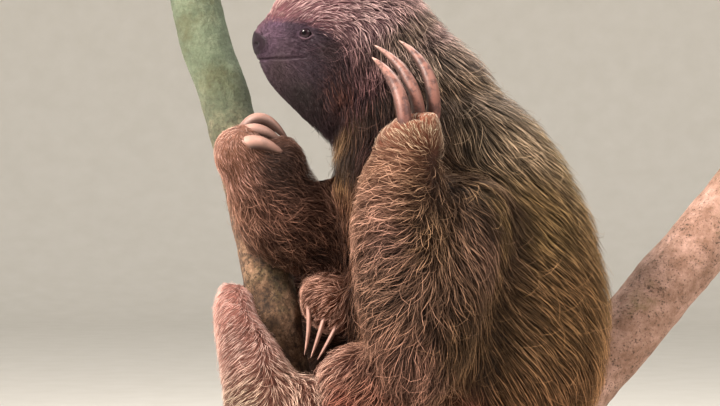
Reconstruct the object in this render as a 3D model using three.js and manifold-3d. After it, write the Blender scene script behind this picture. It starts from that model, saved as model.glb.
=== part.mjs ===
// A three-toed sloth at life size, sitting in the fork of a cut tree limb on a plain display stand.
//
// Frame: millimetres, +Z up. The sloth faces -X and its left side is towards -Y.
// The origin is the centre of the underside of the stand's base.
//
// Every piece of the body is the outline of its coat, out to the tips of the hair. A limb, the
// trunk or the head is a loft: rounded rings strung on a smooth curve through a few stations.
// A station is [x, y, z, across, thick], where across is the ring's half-width along the loft's
// reference direction and thick is its half-width at right angles to that.

import * as THREE from "three";
import { mergeVertices } from "three/addons/utils/BufferGeometryUtils.js";
import Module from "manifold-3d";

const wasm = await Module();
wasm.setup();

// ---------------------------------------------------------------- driving dimensions

const GAP = 0.35; // clearance between two pieces that touch
const AXIS_X = new THREE.Vector3(1, 0, 0);
const AXIS_Y = new THREE.Vector3(0, 1, 0);
const AXIS_Z = new THREE.Vector3(0, 0, 1);
const DOWN = new THREE.Vector3(0, 0, -1);
const NAPE = new THREE.Vector3(0.69, 0, -0.72).normalize(); // the slope of the back of the neck

const BASE = { length: 300, width: 240, thick: 15, corner: 34, chamfer: 2 };
const ROD = { radius: 6, spacing: 26, middle: -6, top: 44.6, sides: 20 };
const PERCH = { top: 497, end: 216 }; // height of the stem's upper cut and reach of the branch's cut

const EYE = { x: -85.7, y: 21, z: 455, radius: 6.4 };
const SOCKET = { y: 27.5, radii: [7, 4, 4.6] };
const EAR = { x: -27, y: 46, z: 436, radii: [8, 5.5, 9.5] };
const NOSE_PAD = { x: -117, z: 450.8, radii: [6.6, 8.8, 6.6] };
const MOUTH = { z: 439.8, corner: -89, gap: 0.6 };
const MUZZLE = { back: -99, top: 467 };

const CLAW = { root: 11, rootScale: 0.8, tipScale: 0.16 }; // root is the length hidden in the toe

// Joints of the skeleton, as the middle of the furred limb there.
const SHOULDER_LEFT = [21, -60, 362];
const ELBOW_LEFT = [-15, -92, 234];
const WRIST_LEFT = [-23, -86, 378];
const SHOULDER_RIGHT = [10, 56, 368];
const ELBOW_RIGHT = [-48, 32, 290];
const WRIST_RIGHT = [-122, -15, 376];
const HIP_LEFT = [36, -48, 185];
const KNEE_LEFT = [-94, -72, 190];
const HEEL_LEFT = [-131, -20, 285];
const HIP_RIGHT = [42, 42, 171];
const KNEE_RIGHT = [-84, 69, 235];
const HEEL_RIGHT = [-56, 80, 136];

// How finely each kind of loft is made, how much of its length an end takes to round off, the
// power of its section (2 is an ellipse, more is squarer) and which way across is measured.
const WOOD = { sides: 13, rows: 15, round: 0.01 };
const HORN_FORM = { sides: 6, rows: 9, round: 0.08 };
const TRUNK_FORM = { sides: 18, rows: 12, round: 0.08, power: 2.2, facing: DOWN };
const NECK_FORM = { sides: 16, rows: 8, round: 0.2, power: 2.2, facing: NAPE };
const HEAD_FORM = { sides: 18, rows: 14, round: 0.04, power: 2.3, facing: AXIS_X };
const LIMB = { sides: 12, rows: 8, round: 0.12 };
const PAW = { sides: 10, rows: 7, round: 0.25 };
const WRAPPED = { sides: 10, rows: 10, round: 0.25, up: AXIS_Z }; // a foot that turns round the wood

// ---------------------------------------------------------------- shapes

// A closed geometry as a solid, with its shared corners merged.
function solidOf(geometry) {
  const bare = geometry.index ? geometry.toNonIndexed() : geometry.clone();
  bare.deleteAttribute("normal");
  bare.deleteAttribute("uv");
  const merged = mergeVertices(bare, 1e-3);
  const vertProperties = merged.attributes.position.array;
  const triVerts = new Uint32Array(merged.index.array);
  return new wasm.Manifold(new wasm.Mesh({ numProp: 3, vertProperties, triVerts }));
}

// How far a loft's end has opened out, from 0 at its tip to 1 where the full section begins.
function openness(along, round) {
  const inward = Math.min(along, 1 - along) / round;
  return inward >= 1 ? 1 : Math.sqrt(1 - (1 - inward) ** 2);
}

// Rings along a smooth curve through the stations. A unit sphere gives the rings, and its latitude
// runs along the curve. facing holds all rings parallel. grow swells the whole shape outwards.
function loft(stations, form, grow = 0) {
  const { sides, rows, round, power = 2, up = AXIS_Y, facing = null } = form;
  const middle = new THREE.CatmullRomCurve3(stations.map(([x, y, z]) => new THREE.Vector3(x, y, z)));
  const widths = new THREE.CatmullRomCurve3(stations.map((s) => new THREE.Vector3(s[3], s[4], 0)));
  const geometry = new THREE.SphereGeometry(1, sides, rows);
  const position = geometry.attributes.position;
  const unit = new THREE.Vector3();
  for (let i = 0; i < position.count; i++) {
    unit.fromBufferAttribute(position, i);
    const along = THREE.MathUtils.clamp((1 - unit.y) / 2, 0, 1);
    const tangent = facing ?? middle.getTangent(along);
    const across = up.clone().addScaledVector(tangent, -up.dot(tangent)).normalize();
    const thick = tangent.clone().cross(across).normalize();
    const point = middle.getPoint(along);
    if (Math.hypot(unit.x, unit.z) < 1e-6) {
      point.addScaledVector(tangent, along < 0.5 ? -grow : grow);
    } else {
      const turn = Math.atan2(unit.z, unit.x);
      const [c, s] = [Math.cos(turn), Math.sin(turn)];
      const reach = (Math.abs(c) ** power + Math.abs(s) ** power) ** (-1 / power);
      const width = widths.getPoint(along).multiplyScalar(openness(along, round));
      point.addScaledVector(across, (width.x + grow) * c * reach);
      point.addScaledVector(thick, (width.y + grow) * s * reach);
    }
    position.setXYZ(i, point.x, point.y, point.z);
  }
  return solidOf(geometry);
}

function ellipsoid(x, y, z, [rx, ry, rz], grow = 0) {
  const geometry = new THREE.SphereGeometry(1, 11, 6);
  geometry.rotateX(Math.PI / 2);
  geometry.scale(rx + grow, ry + grow, rz + grow);
  geometry.translate(x, y, z);
  return solidOf(geometry);
}

function box(low, high) {
  const size = high.map((h, i) => h - low[i]);
  const geometry = new THREE.BoxGeometry(...size);
  geometry.translate(...low.map((l, i) => l + size[i] / 2));
  return solidOf(geometry);
}

// A claw is a flattened, tapered horn on an arc from base to tip, with bow as the arc's control
// point. wide is its half-width along side, deep its half-depth, and the root runs on into the toe.
function claw([base, bow, tip, wide, deep], side, grow) {
  const [from, over, to] = [base, bow, tip].map((p) => new THREE.Vector3(...p));
  const arc = new THREE.QuadraticBezierCurve3(from, over, to);
  const root = from.clone().add(from.clone().sub(over).setLength(CLAW.root));
  const stations = [[...root, wide * CLAW.rootScale, deep * CLAW.rootScale]];
  for (const t of [0, 0.25, 0.5, 0.75, 0.92, 1]) {
    const taper = Math.max(CLAW.tipScale, (1 - t ** 2.2) ** 0.75);
    stations.push([...arc.getPoint(t), wide * taper, deep * taper]);
  }
  return loft(stations, { ...HORN_FORM, up: side }, grow);
}

// ---------------------------------------------------------------- assembly

const HIDE = new THREE.MeshStandardMaterial({ color: 0x6b4a3a, roughness: 0.9, metalness: 0 });
const FACE = new THREE.MeshStandardMaterial({ color: 0x44333a, roughness: 0.8, metalness: 0 });
const NOSE = new THREE.MeshStandardMaterial({ color: 0x2a2228, roughness: 0.5, metalness: 0 });
const HORN = new THREE.MeshStandardMaterial({ color: 0xc08e78, roughness: 0.45, metalness: 0 });
const EYEBALL = new THREE.MeshStandardMaterial({ color: 0x1a1210, roughness: 0.1, metalness: 0 });
const BARK = new THREE.MeshStandardMaterial({ color: 0xa88878, roughness: 0.9, metalness: 0 });
const LACQUER = new THREE.MeshStandardMaterial({ color: 0x26221f, roughness: 0.5, metalness: 0 });
const STEEL = new THREE.MeshStandardMaterial({ color: 0x9a9a98, roughness: 0.4, metalness: 1 });

const sloth = new THREE.Group();
const placed = []; // each piece so far, swollen by the gap

function largest(made) {
  return made.decompose().reduce((a, b) => (b.volume() > a.volume() ? b : a));
}

// Adds a piece, cut back by the gap from all pieces before it. outline(grow) makes its shape.
function place(name, material, outline) {
  const made = placed.reduce((left, earlier) => left.subtract(earlier), outline(0));
  const { vertProperties, triVerts } = largest(made).getMesh();
  const geometry = new THREE.BufferGeometry();
  geometry.setAttribute("position", new THREE.BufferAttribute(new Float32Array(vertProperties), 3));
  geometry.setIndex(new THREE.BufferAttribute(new Uint32Array(triVerts), 1));
  geometry.computeVertexNormals();
  const mesh = new THREE.Mesh(geometry, material);
  mesh.name = name;
  sloth.add(mesh);
  placed.push(outline(GAP));
}

function placeLofts(material, lofts) {
  for (const [name, form, ...stations] of lofts) place(name, material, (grow) => loft(stations, form, grow));
}

// Runs make once for the left side and once for the right, with the sign of that side's Y.
function bothSides(make) {
  make("left", -1);
  make("right", 1);
}

// ---------------------------------------------------------------- stand

// A rounded rectangle, inside the base's edge by its chamfer.
function basePlan() {
  const [x, y] = [BASE.length / 2 - BASE.chamfer, BASE.width / 2 - BASE.chamfer];
  const r = BASE.corner - BASE.chamfer;
  const plan = new THREE.Shape();
  plan.absarc(x - r, r - y, r, -Math.PI / 2, 0);
  plan.absarc(x - r, y - r, r, 0, Math.PI / 2);
  plan.absarc(r - x, y - r, r, Math.PI / 2, Math.PI);
  plan.absarc(r - x, r - y, r, Math.PI, 1.5 * Math.PI);
  return plan;
}

function standBase() {
  const geometry = new THREE.ExtrudeGeometry(basePlan(), {
    depth: BASE.thick - 2 * BASE.chamfer,
    bevelThickness: BASE.chamfer,
    bevelSize: BASE.chamfer,
    bevelSegments: 1,
    curveSegments: 4,
  });
  geometry.translate(0, 0, BASE.chamfer);
  return solidOf(geometry);
}
place("stand_base", LACQUER, standBase);

function rod(x) {
  const foot = BASE.thick + GAP;
  const geometry = new THREE.CylinderGeometry(ROD.radius, ROD.radius, ROD.top - foot, ROD.sides);
  geometry.rotateX(Math.PI / 2);
  geometry.translate(x, 0, (foot + ROD.top) / 2);
  return solidOf(geometry);
}
place("stand_rod_1", STEEL, () => rod(ROD.middle - ROD.spacing / 2));
place("stand_rod_2", STEEL, () => rod(ROD.middle + ROD.spacing / 2));

// ---------------------------------------------------------------- perch

const STEM = [
  [-6, 0, 34, 30, 30],
  [-13, 2, 69, 27, 27],
  [-38, 4, 101, 23, 23],
  [-71, 4, 150, 20, 20],
  [-95, 4, 201, 18.5, 18.5],
  [-106, 7, 250, 18, 18],
  [-110, 14, 294, 17.5, 17.5],
  [-125, 33, 350, 17, 17],
  [-140, 50, 410, 17, 17],
  [-156, 60, 451, 17.5, 17.5],
  [-170, 73, 508, 17.5, 17.5],
];
const BRANCH = [
  [0, 4, 66, 25, 25],
  [24, 20, 118, 24.5, 24.5],
  [49, 35, 162, 24, 24],
  [79, 45, 205, 23.5, 23.5],
  [117, 52, 247, 23, 23],
  [155, 60, 291, 23, 23],
  [230, 79, 374, 23, 23],
];

// Each length of wood is sawn off flat: the stem level at both ends, the branch upright.
const FAR = 500; // further than the wood reaches
const stemCut = box([-FAR, -FAR, ROD.top + GAP], [FAR, FAR, PERCH.top]);
const branchCut = box([-FAR, -FAR, 0], [PERCH.end, FAR, FAR]);
place("perch_trunk", BARK, (grow) => loft(STEM, WOOD, grow).intersect(stemCut));
place("perch_branch", BARK, (grow) => loft(BRANCH, WOOD, grow).intersect(branchCut));

// ---------------------------------------------------------------- claws and eyes

// The left hand is raised beside the head, and its claws curl in towards the ear.
const HAND_CLAWS_LEFT = [
  [[-26, -90, 398], [-26.6, -92, 421.5], [-45, -67, 437], 3.5, 4],
  [[-16, -84, 400], [-19, -87, 428.5], [-43.6, -61, 445], 3.2, 3.6],
  [[-7, -76, 401], [-5, -80, 431], [-28.4, -55, 448.5], 3.2, 3.8],
];
// The right hand is closed, its claws folded over towards the wrist.
const HAND_CLAWS_RIGHT = [
  [[-131, -31, 378], [-120, -40, 394], [-98.5, -29, 376], 4.4, 5.6],
  [[-129, -18, 389], [-116, -24, 401], [-98, -17, 380], 4.2, 5],
  [[-127, -5, 393], [-116, -8, 412], [-97, -5, 385], 4, 4.6],
];
// The left foot has come round behind the stem, and its claws hang down in front of the belly.
const FOOT_CLAWS_LEFT = [
  [[-85, -22, 280], [-83.5, -27, 266], [-87.6, -25, 249.8], 1.5, 2.8],
  [[-75, -23, 273], [-78, -29, 262], [-83.6, -26, 247.9], 1.5, 2.8],
  [[-67.5, -22, 267], [-72, -28, 258], [-79.4, -26, 246.8], 1.5, 2.8],
];
// The right foot grips the stem from the far side.
const FOOT_CLAWS_RIGHT = [
  [[-84, 36, 166], [-106, 22, 172], [-100, -8, 166], 2.4, 3],
  [[-81, 37, 155], [-103, 21, 160], [-94, -10, 154], 2.4, 3],
  [[-77, 38, 144], [-98, 20, 148], [-87, -11, 141], 2.4, 3],
];

function placeClaws(name, claws, side) {
  claws.forEach((shape, i) => place(`${name}_${i + 1}`, HORN, (grow) => claw(shape, side, grow)));
}
placeClaws("hand_claw_left", HAND_CLAWS_LEFT, AXIS_Y);
placeClaws("hand_claw_right", HAND_CLAWS_RIGHT, AXIS_Y);
placeClaws("foot_claw_left", FOOT_CLAWS_LEFT, AXIS_X);
placeClaws("foot_claw_right", FOOT_CLAWS_RIGHT, AXIS_Z);

bothSides((name, side) => {
  const radii = [EYE.radius, EYE.radius, EYE.radius];
  place(`eye_${name}`, EYEBALL, (grow) => ellipsoid(EYE.x, side * EYE.y, EYE.z, radii, grow));
});

// ---------------------------------------------------------------- trunk, neck and head

placeLofts(HIDE, [
  [
    "torso",
    TRUNK_FORM,
    [-4, 0, 428, 42, 38],
    [4, -2, 402, 56, 59],
    [5, -4, 372, 64, 79],
    [20, -6, 333, 70, 82],
    [25, -8, 284, 75, 87],
    [23, -8, 233, 76, 85],
    [19, -8, 187, 70, 69],
    [16, -6, 142, 56, 47],
    [16, -4, 106, 30, 17],
  ],
  [
    "neck",
    NECK_FORM,
    [-57, 0, 446, 40, 43],
    [-34, 0, 424, 50, 55],
    [-21, 0, 396, 56, 66],
    [8, 0, 357, 60, 70],
  ],
]);

// Upright rings from the nose back over the steep forehead and down to the deep jowls.
const HEAD = [
  [-123, 0, 452, 2, 1],
  [-122.3, 0, 452, 7, 5],
  [-120, 0, 452, 9, 9.2],
  [-117, 0, 450.6, 11, 13.6],
  [-113, 0, 447.9, 13.5, 20.4],
  [-109.5, 0, 447, 15.5, 24.5],
  [-107, 0, 449.5, 18, 29.5],
  [-102, 0, 450.5, 21, 35.8],
  [-94, 0, 448.9, 25, 43],
  [-81, 0, 444.5, 31.5, 51.5],
  [-62, 0, 438.7, 41, 60],
  [-39, 0, 432.5, 48.5, 64],
  [6, 0, 421, 48, 60],
];
const wholeHead = (grow) => loft(HEAD, HEAD_FORM, grow);
const socket = (side) => ellipsoid(EYE.x, side * SOCKET.y, EYE.z, SOCKET.radii);

// The front of the head above the mouth, and the front below it.
function muzzle(grow) {
  const low = [-FAR, -FAR, MOUTH.z + MOUTH.gap / 2 - grow];
  return wholeHead(grow).intersect(box(low, [MUZZLE.back + grow, FAR, MUZZLE.top + grow]));
}

function lowerJaw(grow) {
  const high = [MOUTH.corner + grow, FAR, MOUTH.z - MOUTH.gap / 2 + grow];
  return wholeHead(grow).intersect(box([-FAR, -FAR, 0], high));
}

function head(grow) {
  return wholeHead(grow).subtract(socket(-1)).subtract(socket(1));
}

place("nose", NOSE, (grow) => ellipsoid(NOSE_PAD.x, 0, NOSE_PAD.z, NOSE_PAD.radii, grow));
place("muzzle", FACE, muzzle);
place("lower_jaw", FACE, lowerJaw);
place("head", HIDE, head);
bothSides((name, side) =>
  place(`ear_${name}`, HIDE, (grow) => ellipsoid(EAR.x, side * EAR.y, EAR.z, EAR.radii, grow)),
);

// ---------------------------------------------------------------- arms

placeLofts(HIDE, [
  ["hand_left", PAW, [...WRIST_LEFT, 24, 26], [-20, -86, 391, 19, 20], [-17.5, -83, 410, 12, 13]],
  ["hand_right", PAW, [-123, -16, 369, 25, 25], [-130, -17, 384, 24, 18], [-133, -16, 396, 17, 11]],
  [
    "upper_arm_left",
    LIMB,
    [...SHOULDER_LEFT, 24, 25],
    [10, -78, 324, 26, 28],
    [-4, -90, 276, 27, 28],
    [...ELBOW_LEFT, 25, 24],
  ],
  ["upper_arm_right", LIMB, [...SHOULDER_RIGHT, 24, 27], [-20, 50, 328, 26, 29], [...ELBOW_RIGHT, 24, 26]],
  [
    "forearm_left",
    LIMB,
    [-13, -91, 224, 24, 22],
    [-20, -94, 262, 28, 31],
    [-28, -92, 313, 29, 33],
    [-27, -89, 349, 28, 31],
    [...WRIST_LEFT, 24, 27],
    [-21, -86, 394, 18, 20],
  ],
  [
    "forearm_right",
    LIMB,
    [-44, 34, 286, 22, 22],
    [-60, 18, 306, 25, 25],
    [-80, 4, 322, 26, 27],
    [-103, -9, 338, 27, 36],
    [-114, -14, 359, 25, 31],
    [...WRIST_RIGHT, 24, 26],
    [-117, -13, 392, 19, 17],
  ],
]);

// ---------------------------------------------------------------- legs and tail

placeLofts(HIDE, [
  [
    "thigh_left",
    LIMB,
    [...HIP_LEFT, 34, 40],
    [-9, -64, 202, 36, 46],
    [-46, -66, 219, 34, 47],
    [...KNEE_LEFT, 29, 31],
  ],
  ["thigh_right", LIMB, [...HIP_RIGHT, 32, 39], [-14, 60, 212, 33, 41], [...KNEE_RIGHT, 29, 33]],
  [
    "shin_left",
    LIMB,
    [-86, -72, 168, 24, 26],
    [-101, -71, 200, 28, 31],
    [-113, -67, 229, 27, 26],
    [-120, -57, 250, 25, 21],
    [-129.5, -43, 269, 22, 15.5],
    [-132, -32, 284, 18, 14],
    [-133, -26, 300, 14, 11],
  ],
  [
    "shin_right",
    LIMB,
    [-78, 66, 283, 26, 27],
    [-73, 69, 238, 27, 30],
    [-70, 76, 203, 25, 28],
    [-64, 80, 166, 23, 26],
    [...HEEL_RIGHT, 20, 22],
    [-54, 78, 121, 14, 15],
  ],
  [
    "foot_left",
    WRAPPED,
    [...HEEL_LEFT, 13, 11],
    [-129, 10, 284, 13, 12],
    [-117, 34, 284, 14, 12],
    [-94, 42, 284, 16, 13],
    [-70, 29, 283, 20, 14],
    [-68, 4, 283, 22, 19],
    [-75, -14, 284, 21, 21],
    [-79, -28, 282, 17, 18],
  ],
  [
    "foot_right",
    WRAPPED,
    [...HEEL_RIGHT, 20, 17],
    [-68, 64, 143, 20, 16],
    [-80, 48, 151, 19, 13],
    [-87, 36, 156, 15, 10],
  ],
  ["tail", PAW, [51, -8, 152, 16, 16], [69, -8, 129, 14, 14], [82, -8, 110, 8, 8]],
]);

export default sloth;
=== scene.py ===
import math

import bpy
import bmesh
import numpy as np
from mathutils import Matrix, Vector, noise
from mathutils.bvhtree import BVHTree
from mathutils.kdtree import KDTree


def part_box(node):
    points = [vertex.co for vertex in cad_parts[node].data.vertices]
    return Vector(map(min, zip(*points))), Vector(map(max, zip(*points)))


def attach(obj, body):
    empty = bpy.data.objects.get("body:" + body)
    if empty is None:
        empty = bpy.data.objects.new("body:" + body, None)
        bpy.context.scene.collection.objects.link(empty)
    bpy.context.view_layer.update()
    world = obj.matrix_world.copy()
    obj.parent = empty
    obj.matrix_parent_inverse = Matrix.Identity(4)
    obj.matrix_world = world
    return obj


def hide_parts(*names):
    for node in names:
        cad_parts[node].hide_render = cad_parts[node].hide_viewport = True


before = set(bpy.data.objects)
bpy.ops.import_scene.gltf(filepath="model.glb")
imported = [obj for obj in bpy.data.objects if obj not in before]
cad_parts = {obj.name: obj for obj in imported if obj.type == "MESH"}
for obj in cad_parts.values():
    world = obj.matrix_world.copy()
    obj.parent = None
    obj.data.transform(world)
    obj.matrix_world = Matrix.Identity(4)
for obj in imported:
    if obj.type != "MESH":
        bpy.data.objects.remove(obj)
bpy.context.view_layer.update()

MM = 0.001  # the frame is in metres, and the sizes here are written in millimetres


# ------------------------------------------------------------------ hide
# The animal's own skin, one closed surface from nose to tail, lying under the coat by the coat's
# depth. The body's solids are fused and relaxed into one form, drawn in by the depth of the hair,
# and then modelled finely at the face: lids, nostrils, lips and the leathery pad of the nose.

# Per part of the body: how deep the coat is, how long its hairs, how wide a tuft of them, the skin
# that one tuft covers (mm, mm, mm, mm2), and how much the tufts wave from side to side (degrees).
COAT = {
    "nose": (0.2, 1.0, 0.25, 1e6, 0),
    "muzzle": (0.7, 2.4, 0.28, 0.75, 10),
    "lower_jaw": (0.9, 3.0, 0.30, 0.85, 10),
    "face": (1.2, 4.0, 0.32, 0.95, 10),
    "head": (7.0, 13.0, 0.44, 2.2, 12),
    "ear": (4.0, 10.0, 0.45, 2.4, 12),
    "neck": (9.0, 22.0, 0.46, 3.7, 9),
    "torso": (10.0, 25.0, 0.43, 4.6, 5),
    "tail": (5.0, 10.0, 0.56, 4.0, 12),
    "upper_arm": (8.5, 26.0, 0.47, 4.0, 14),
    "forearm": (7.5, 16.0, 0.45, 3.1, 34),
    "hand": (1.6, 5.5, 0.40, 1.4, 14),
    "thigh": (7.5, 17.0, 0.58, 4.2, 14),
    "shin": (4.0, 9.5, 0.48, 2.2, 14),
    "foot": (2.4, 8.5, 0.46, 1.8, 10),
}
FACE_BACK = (-100, -42)  # x between which the face's short hair turns into the head's long hair
MASK_EDGE = {  # height against how far back the dark face reaches
    377: -50, 395: -48, 410: -52, 428: -58, 439: -62, 448: -65,
    454: -70, 458.5: -77, 461.7: -85, 464: -98, 467: -120,
}


def kind_of(node):
    return node.replace("_left", "").replace("_right", "")


FLESH = [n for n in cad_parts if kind_of(n) in COAT]


def unit(vectors):
    return vectors / np.maximum(np.linalg.norm(vectors, axis=-1, keepdims=True), 1e-12)


def smoothstep(value, low, high):
    t = np.clip((value - low) / (high - low), 0, 1)
    return t * t * (3 - 2 * t)


def nearness(at, place, size):
    """1 at one place, falling off over a size in millimetres."""
    return np.exp(-((at - np.array(place)) ** 2).sum(1) / size**2)


def mottle(at, size, shift=0.0):
    """Smooth noise at places, with features about a size in millimetres apart."""
    return np.array([noise.noise(Vector(p) / size + Vector((0, 0, shift))) for p in at.tolist()])


def read_out(work):
    """The corner places and the faces of a form that was being worked on, which is then let go."""
    places = np.array([v.co for v in work.verts])
    faces = np.array([[v.index for v in f.verts] for f in work.faces])
    work.free()
    return places, faces


def arrays(mesh):
    """Corner places in millimetres and the triangles of a mesh, with split corners welded."""
    work = bmesh.new()
    work.from_mesh(mesh)
    bmesh.ops.remove_doubles(work, verts=work.verts, dist=1e-6)
    bmesh.ops.triangulate(work, faces=work.faces)
    work.verts.ensure_lookup_table()
    places, faces = read_out(work)
    return places / MM, faces


def summed(index, values, count):
    """The values added up by index."""
    return np.stack([np.bincount(index, column, count) for column in values.T], 1)


def corner_normals(places, faces):
    """Unit normals at the corners of a triangle mesh, weighted by face area."""
    a, b, c = places[faces[:, 0]], places[faces[:, 1]], places[faces[:, 2]]
    flat = np.cross(b - a, c - a)
    return unit(sum(summed(faces[:, i], flat, len(places)) for i in range(3)))


class Net:
    """The corners of a surface and which of them are neighbours, to average values over it."""

    def __init__(self, faces, count):
        sides = faces.shape[1]
        pairs = np.concatenate([faces[:, [i, (i + 1) % sides]] for i in range(sides)])
        pairs = np.unique(np.sort(pairs, axis=1), axis=0)
        self.start = np.concatenate([pairs[:, 0], pairs[:, 1]])
        self.end = np.concatenate([pairs[:, 1], pairs[:, 0]])
        self.count = count
        self.ways = np.maximum(np.bincount(self.start, minlength=count), 1)[:, None]

    def relaxed(self, values, rounds, share=0.5):
        """The values drawn towards their neighbours' mean, so many times over."""
        flat = values.reshape(len(values), -1)
        for _ in range(rounds):
            flat = flat + share * (summed(self.start, flat[self.end], self.count) / self.ways - flat)
        return flat.reshape(values.shape)


def shown(name, data):
    """A new object in the scene."""
    made = bpy.data.objects.new(name, data)
    bpy.context.scene.collection.objects.link(made)
    return made


def new_object(name, places, faces):
    """A smooth-shaded mesh object from places in millimetres."""
    mesh = bpy.data.meshes.new(name)
    mesh.from_pydata((np.asarray(places) * MM).tolist(), [], [list(map(int, f)) for f in faces])
    mesh.shade_smooth()
    return shown(name, mesh)


# The solids stand a third of a millimetre apart, so each is swollen a little and all are fused in a
# grid of small cubes. The eyeballs go in too, so that the lids have something to lie on.
SWELL = 0.6
VOXEL = 3.1  # the cubes' edge
SMOOTHING = 14  # rounds of relaxing, which take the cubes' steps out
SINKING = 4  # steps in which the fused form is drawn in by the coat's depth
EYES = ["eye_left", "eye_right"]

# The claws' roots, as the places where they leave the toes and the ways they point there.
TOES = {
    "hand_left": [
        ((-26, -90, 398), (0, -1, 12)), ((-16, -84, 400), (-1, -1, 10)), ((-7, -76, 401), (1, -1.5, 12)),
    ],
    "hand_right": [
        ((-131, -31, 378), (11, -9, 16)), ((-129, -18, 389), (13, -6, 12)), ((-127, -5, 393), (11, -3, 19)),
    ],
    "foot_left": [
        ((-85, -22, 280), (1.5, -5, -14)), ((-75, -23, 273), (-3, -6, -11)),
        ((-67.5, -22, 267), (-4.5, -6, -9)),
    ],
}
TOE_PLACES = np.array([place for toes in TOES.values() for place, _ in toes], float)
FINGER = {  # per claw: its toe's radius, and how far behind the place above the toe ends
    "hand_left": [(4.9, 12), (4.9, 6), (4.9, 6)],
    "hand_right": [(6.6, 1.5)] * 3,
    "foot_left": [(4.6, 1.5)] * 3,
}
PADS = {  # the palm under the claws of the closed hand, and the bent right knee behind the stem
    "hand_right": [
        ((-114, -26, 375), 7), ((-111, -13, 381), 8), ((-103, -21, 376), 7), ((-103, -10, 380.5), 9.5),
    ],
    "shin_right": [((-86, 54, 292), 14), ((-91, 50, 300), 9)],
}
TOE_LENGTH = 11
PAD_LENGTH = 0.1


def finger(place, way, radius, behind, length=TOE_LENGTH):
    """A toe's end: a capsule along its claw's root, which ends so far behind a place."""
    ball = bmesh.new()
    bmesh.ops.create_icosphere(ball, subdivisions=3, radius=radius)
    points, index = read_out(ball)
    way = unit(np.array(way, float))
    run = np.where(points @ way > 0, -behind, -behind - length)
    return points + np.array(place, float) + run[:, None] * way, index


solids = [arrays(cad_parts[n].data) for n in FLESH + EYES]
grown_on = []  # the parts that the toes and pads belong to
for paw, ends in TOES.items():
    for (place, way), (radius, behind) in zip(ends, FINGER[paw]):
        solids.append(finger(place, way, radius, behind))
        grown_on.append(paw)
for part, balls in PADS.items():
    for place, radius in balls:
        solids.append(finger(place, (0, 0, 1), radius, 0, PAD_LENGTH))
        grown_on.append(part)
starts = np.cumsum([0] + [len(places) for places, _ in solids])
solid_faces = np.concatenate([faces + start for (_, faces), start in zip(solids, starts)])
solid_part = np.concatenate([np.full(len(faces), i) for i, (_, faces) in enumerate(solids)])
swollen = np.concatenate([places + SWELL * corner_normals(places, faces) for places, faces in solids])
outline = BVHTree.FromPolygons(swollen.tolist(), solid_faces.tolist())

fused = new_object("fused", swollen, solid_faces)
fuse = fused.modifiers.new("fuse", "REMESH")
fuse.mode = "VOXEL"
fuse.voxel_size = VOXEL * MM
fused_mesh = bpy.data.meshes.new_from_object(fused.evaluated_get(bpy.context.evaluated_depsgraph_get()))
bpy.data.objects.remove(fused)


def outer_skin(mesh):
    """The largest closed surface in a mesh, without the bubbles left where solids meet."""
    work = bmesh.new()
    work.from_mesh(mesh)
    work.verts.ensure_lookup_table()
    reached = {max(work.verts, key=lambda v: v.co.x).index}
    waiting = list(reached)
    while waiting:
        for edge in work.verts[waiting.pop()].link_edges:
            for corner in edge.verts:
                if corner.index not in reached:
                    reached.add(corner.index)
                    waiting.append(corner.index)
    bmesh.ops.delete(work, geom=[v for v in work.verts if v.index not in reached], context="VERTS")
    work.verts.index_update()
    places, faces = read_out(work)
    return places / MM, faces


def inside_mask(places):
    """How far inside the edge of the dark face each place is, in millimetres."""
    heights = np.arange(360, 490)
    edge = np.interp(heights, list(MASK_EDGE), list(MASK_EDGE.values()))
    across = np.interp(places[:, 2], heights, edge) - places[:, 0]
    return across / np.sqrt(1 + np.interp(places[:, 2], heights, np.gradient(edge)) ** 2)


def quad_normals(places, faces):
    return corner_normals(places, np.concatenate([faces[:, :3], faces[:, [0, 2, 3]]]))


def parts_at(places):
    """The name of the body's solid nearest to each place, without its side."""
    nearest = [solid_part[outline.find_nearest(p)[2]] for p in places.tolist()]
    names = FLESH + ["head", "head"] + grown_on
    return np.array([names[i] for i in nearest])


def coat_at(places, parts):
    """The coat's row for each place. The head's runs from the short hair of the face to long hair."""
    rows = np.array([COAT[kind_of(p)] for p in parts])
    back = smoothstep(places[:, 0], *FACE_BACK)
    jowl = 9 * smoothstep(places[:, 2], 440, 418)
    long = np.maximum(0.5 * back, smoothstep(inside_mask(places) - jowl, 3, -11))
    share = np.stack([back, long, long, long, long], 1)
    head = np.array(COAT["face"]) * (1 - share) + np.array(COAT["head"]) * share
    return np.where((parts == "head")[:, None], head, rows)


places, quads = outer_skin(fused_mesh)
net = Net(quads, len(places))
for _ in range(SMOOTHING):  # relaxed and swollen back in turn, which keeps the size
    places = net.relaxed(places, 1, 0.55)
    places = net.relaxed(places, 1, -0.57)
parts = parts_at(places)
depth = net.relaxed(coat_at(places, parts)[:, 0], 18)
PALM = (-104, -22, 368)
THIN = [  # places where the hair is short, how far round them that reaches and by how much
    (PALM, 20, 0.75), ((-82, 55, 285), 26, 0.8), ((-17, -86, 396), 17, 0.7), ((-76, -24, 280), 17, 0.6),
]
for place, size, share in THIN:
    depth *= 1 - share * nearness(places, place, size)
normals = quad_normals(places, quads)
for _ in range(SINKING):
    places = places - normals * depth[:, None] / SINKING
    places = net.relaxed(places, 2, 0.5)
    normals = quad_normals(places, quads)

# The face and the paws are cut finer, and the eyes, nose, mouth and knuckles finer again.
EYE = [(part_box(n)[0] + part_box(n)[1]) / 2 / MM for n in EYES]
EYE_R = (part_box("eye_left")[1].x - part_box("eye_left")[0].x) / 2 / MM
MOUTH_Z = (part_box("muzzle")[0].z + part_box("lower_jaw")[1].z) / 2 / MM
MOUTH_BACK = -84


def near_eye(p):
    return min((Vector(p) - e).length for e in EYE)


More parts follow.
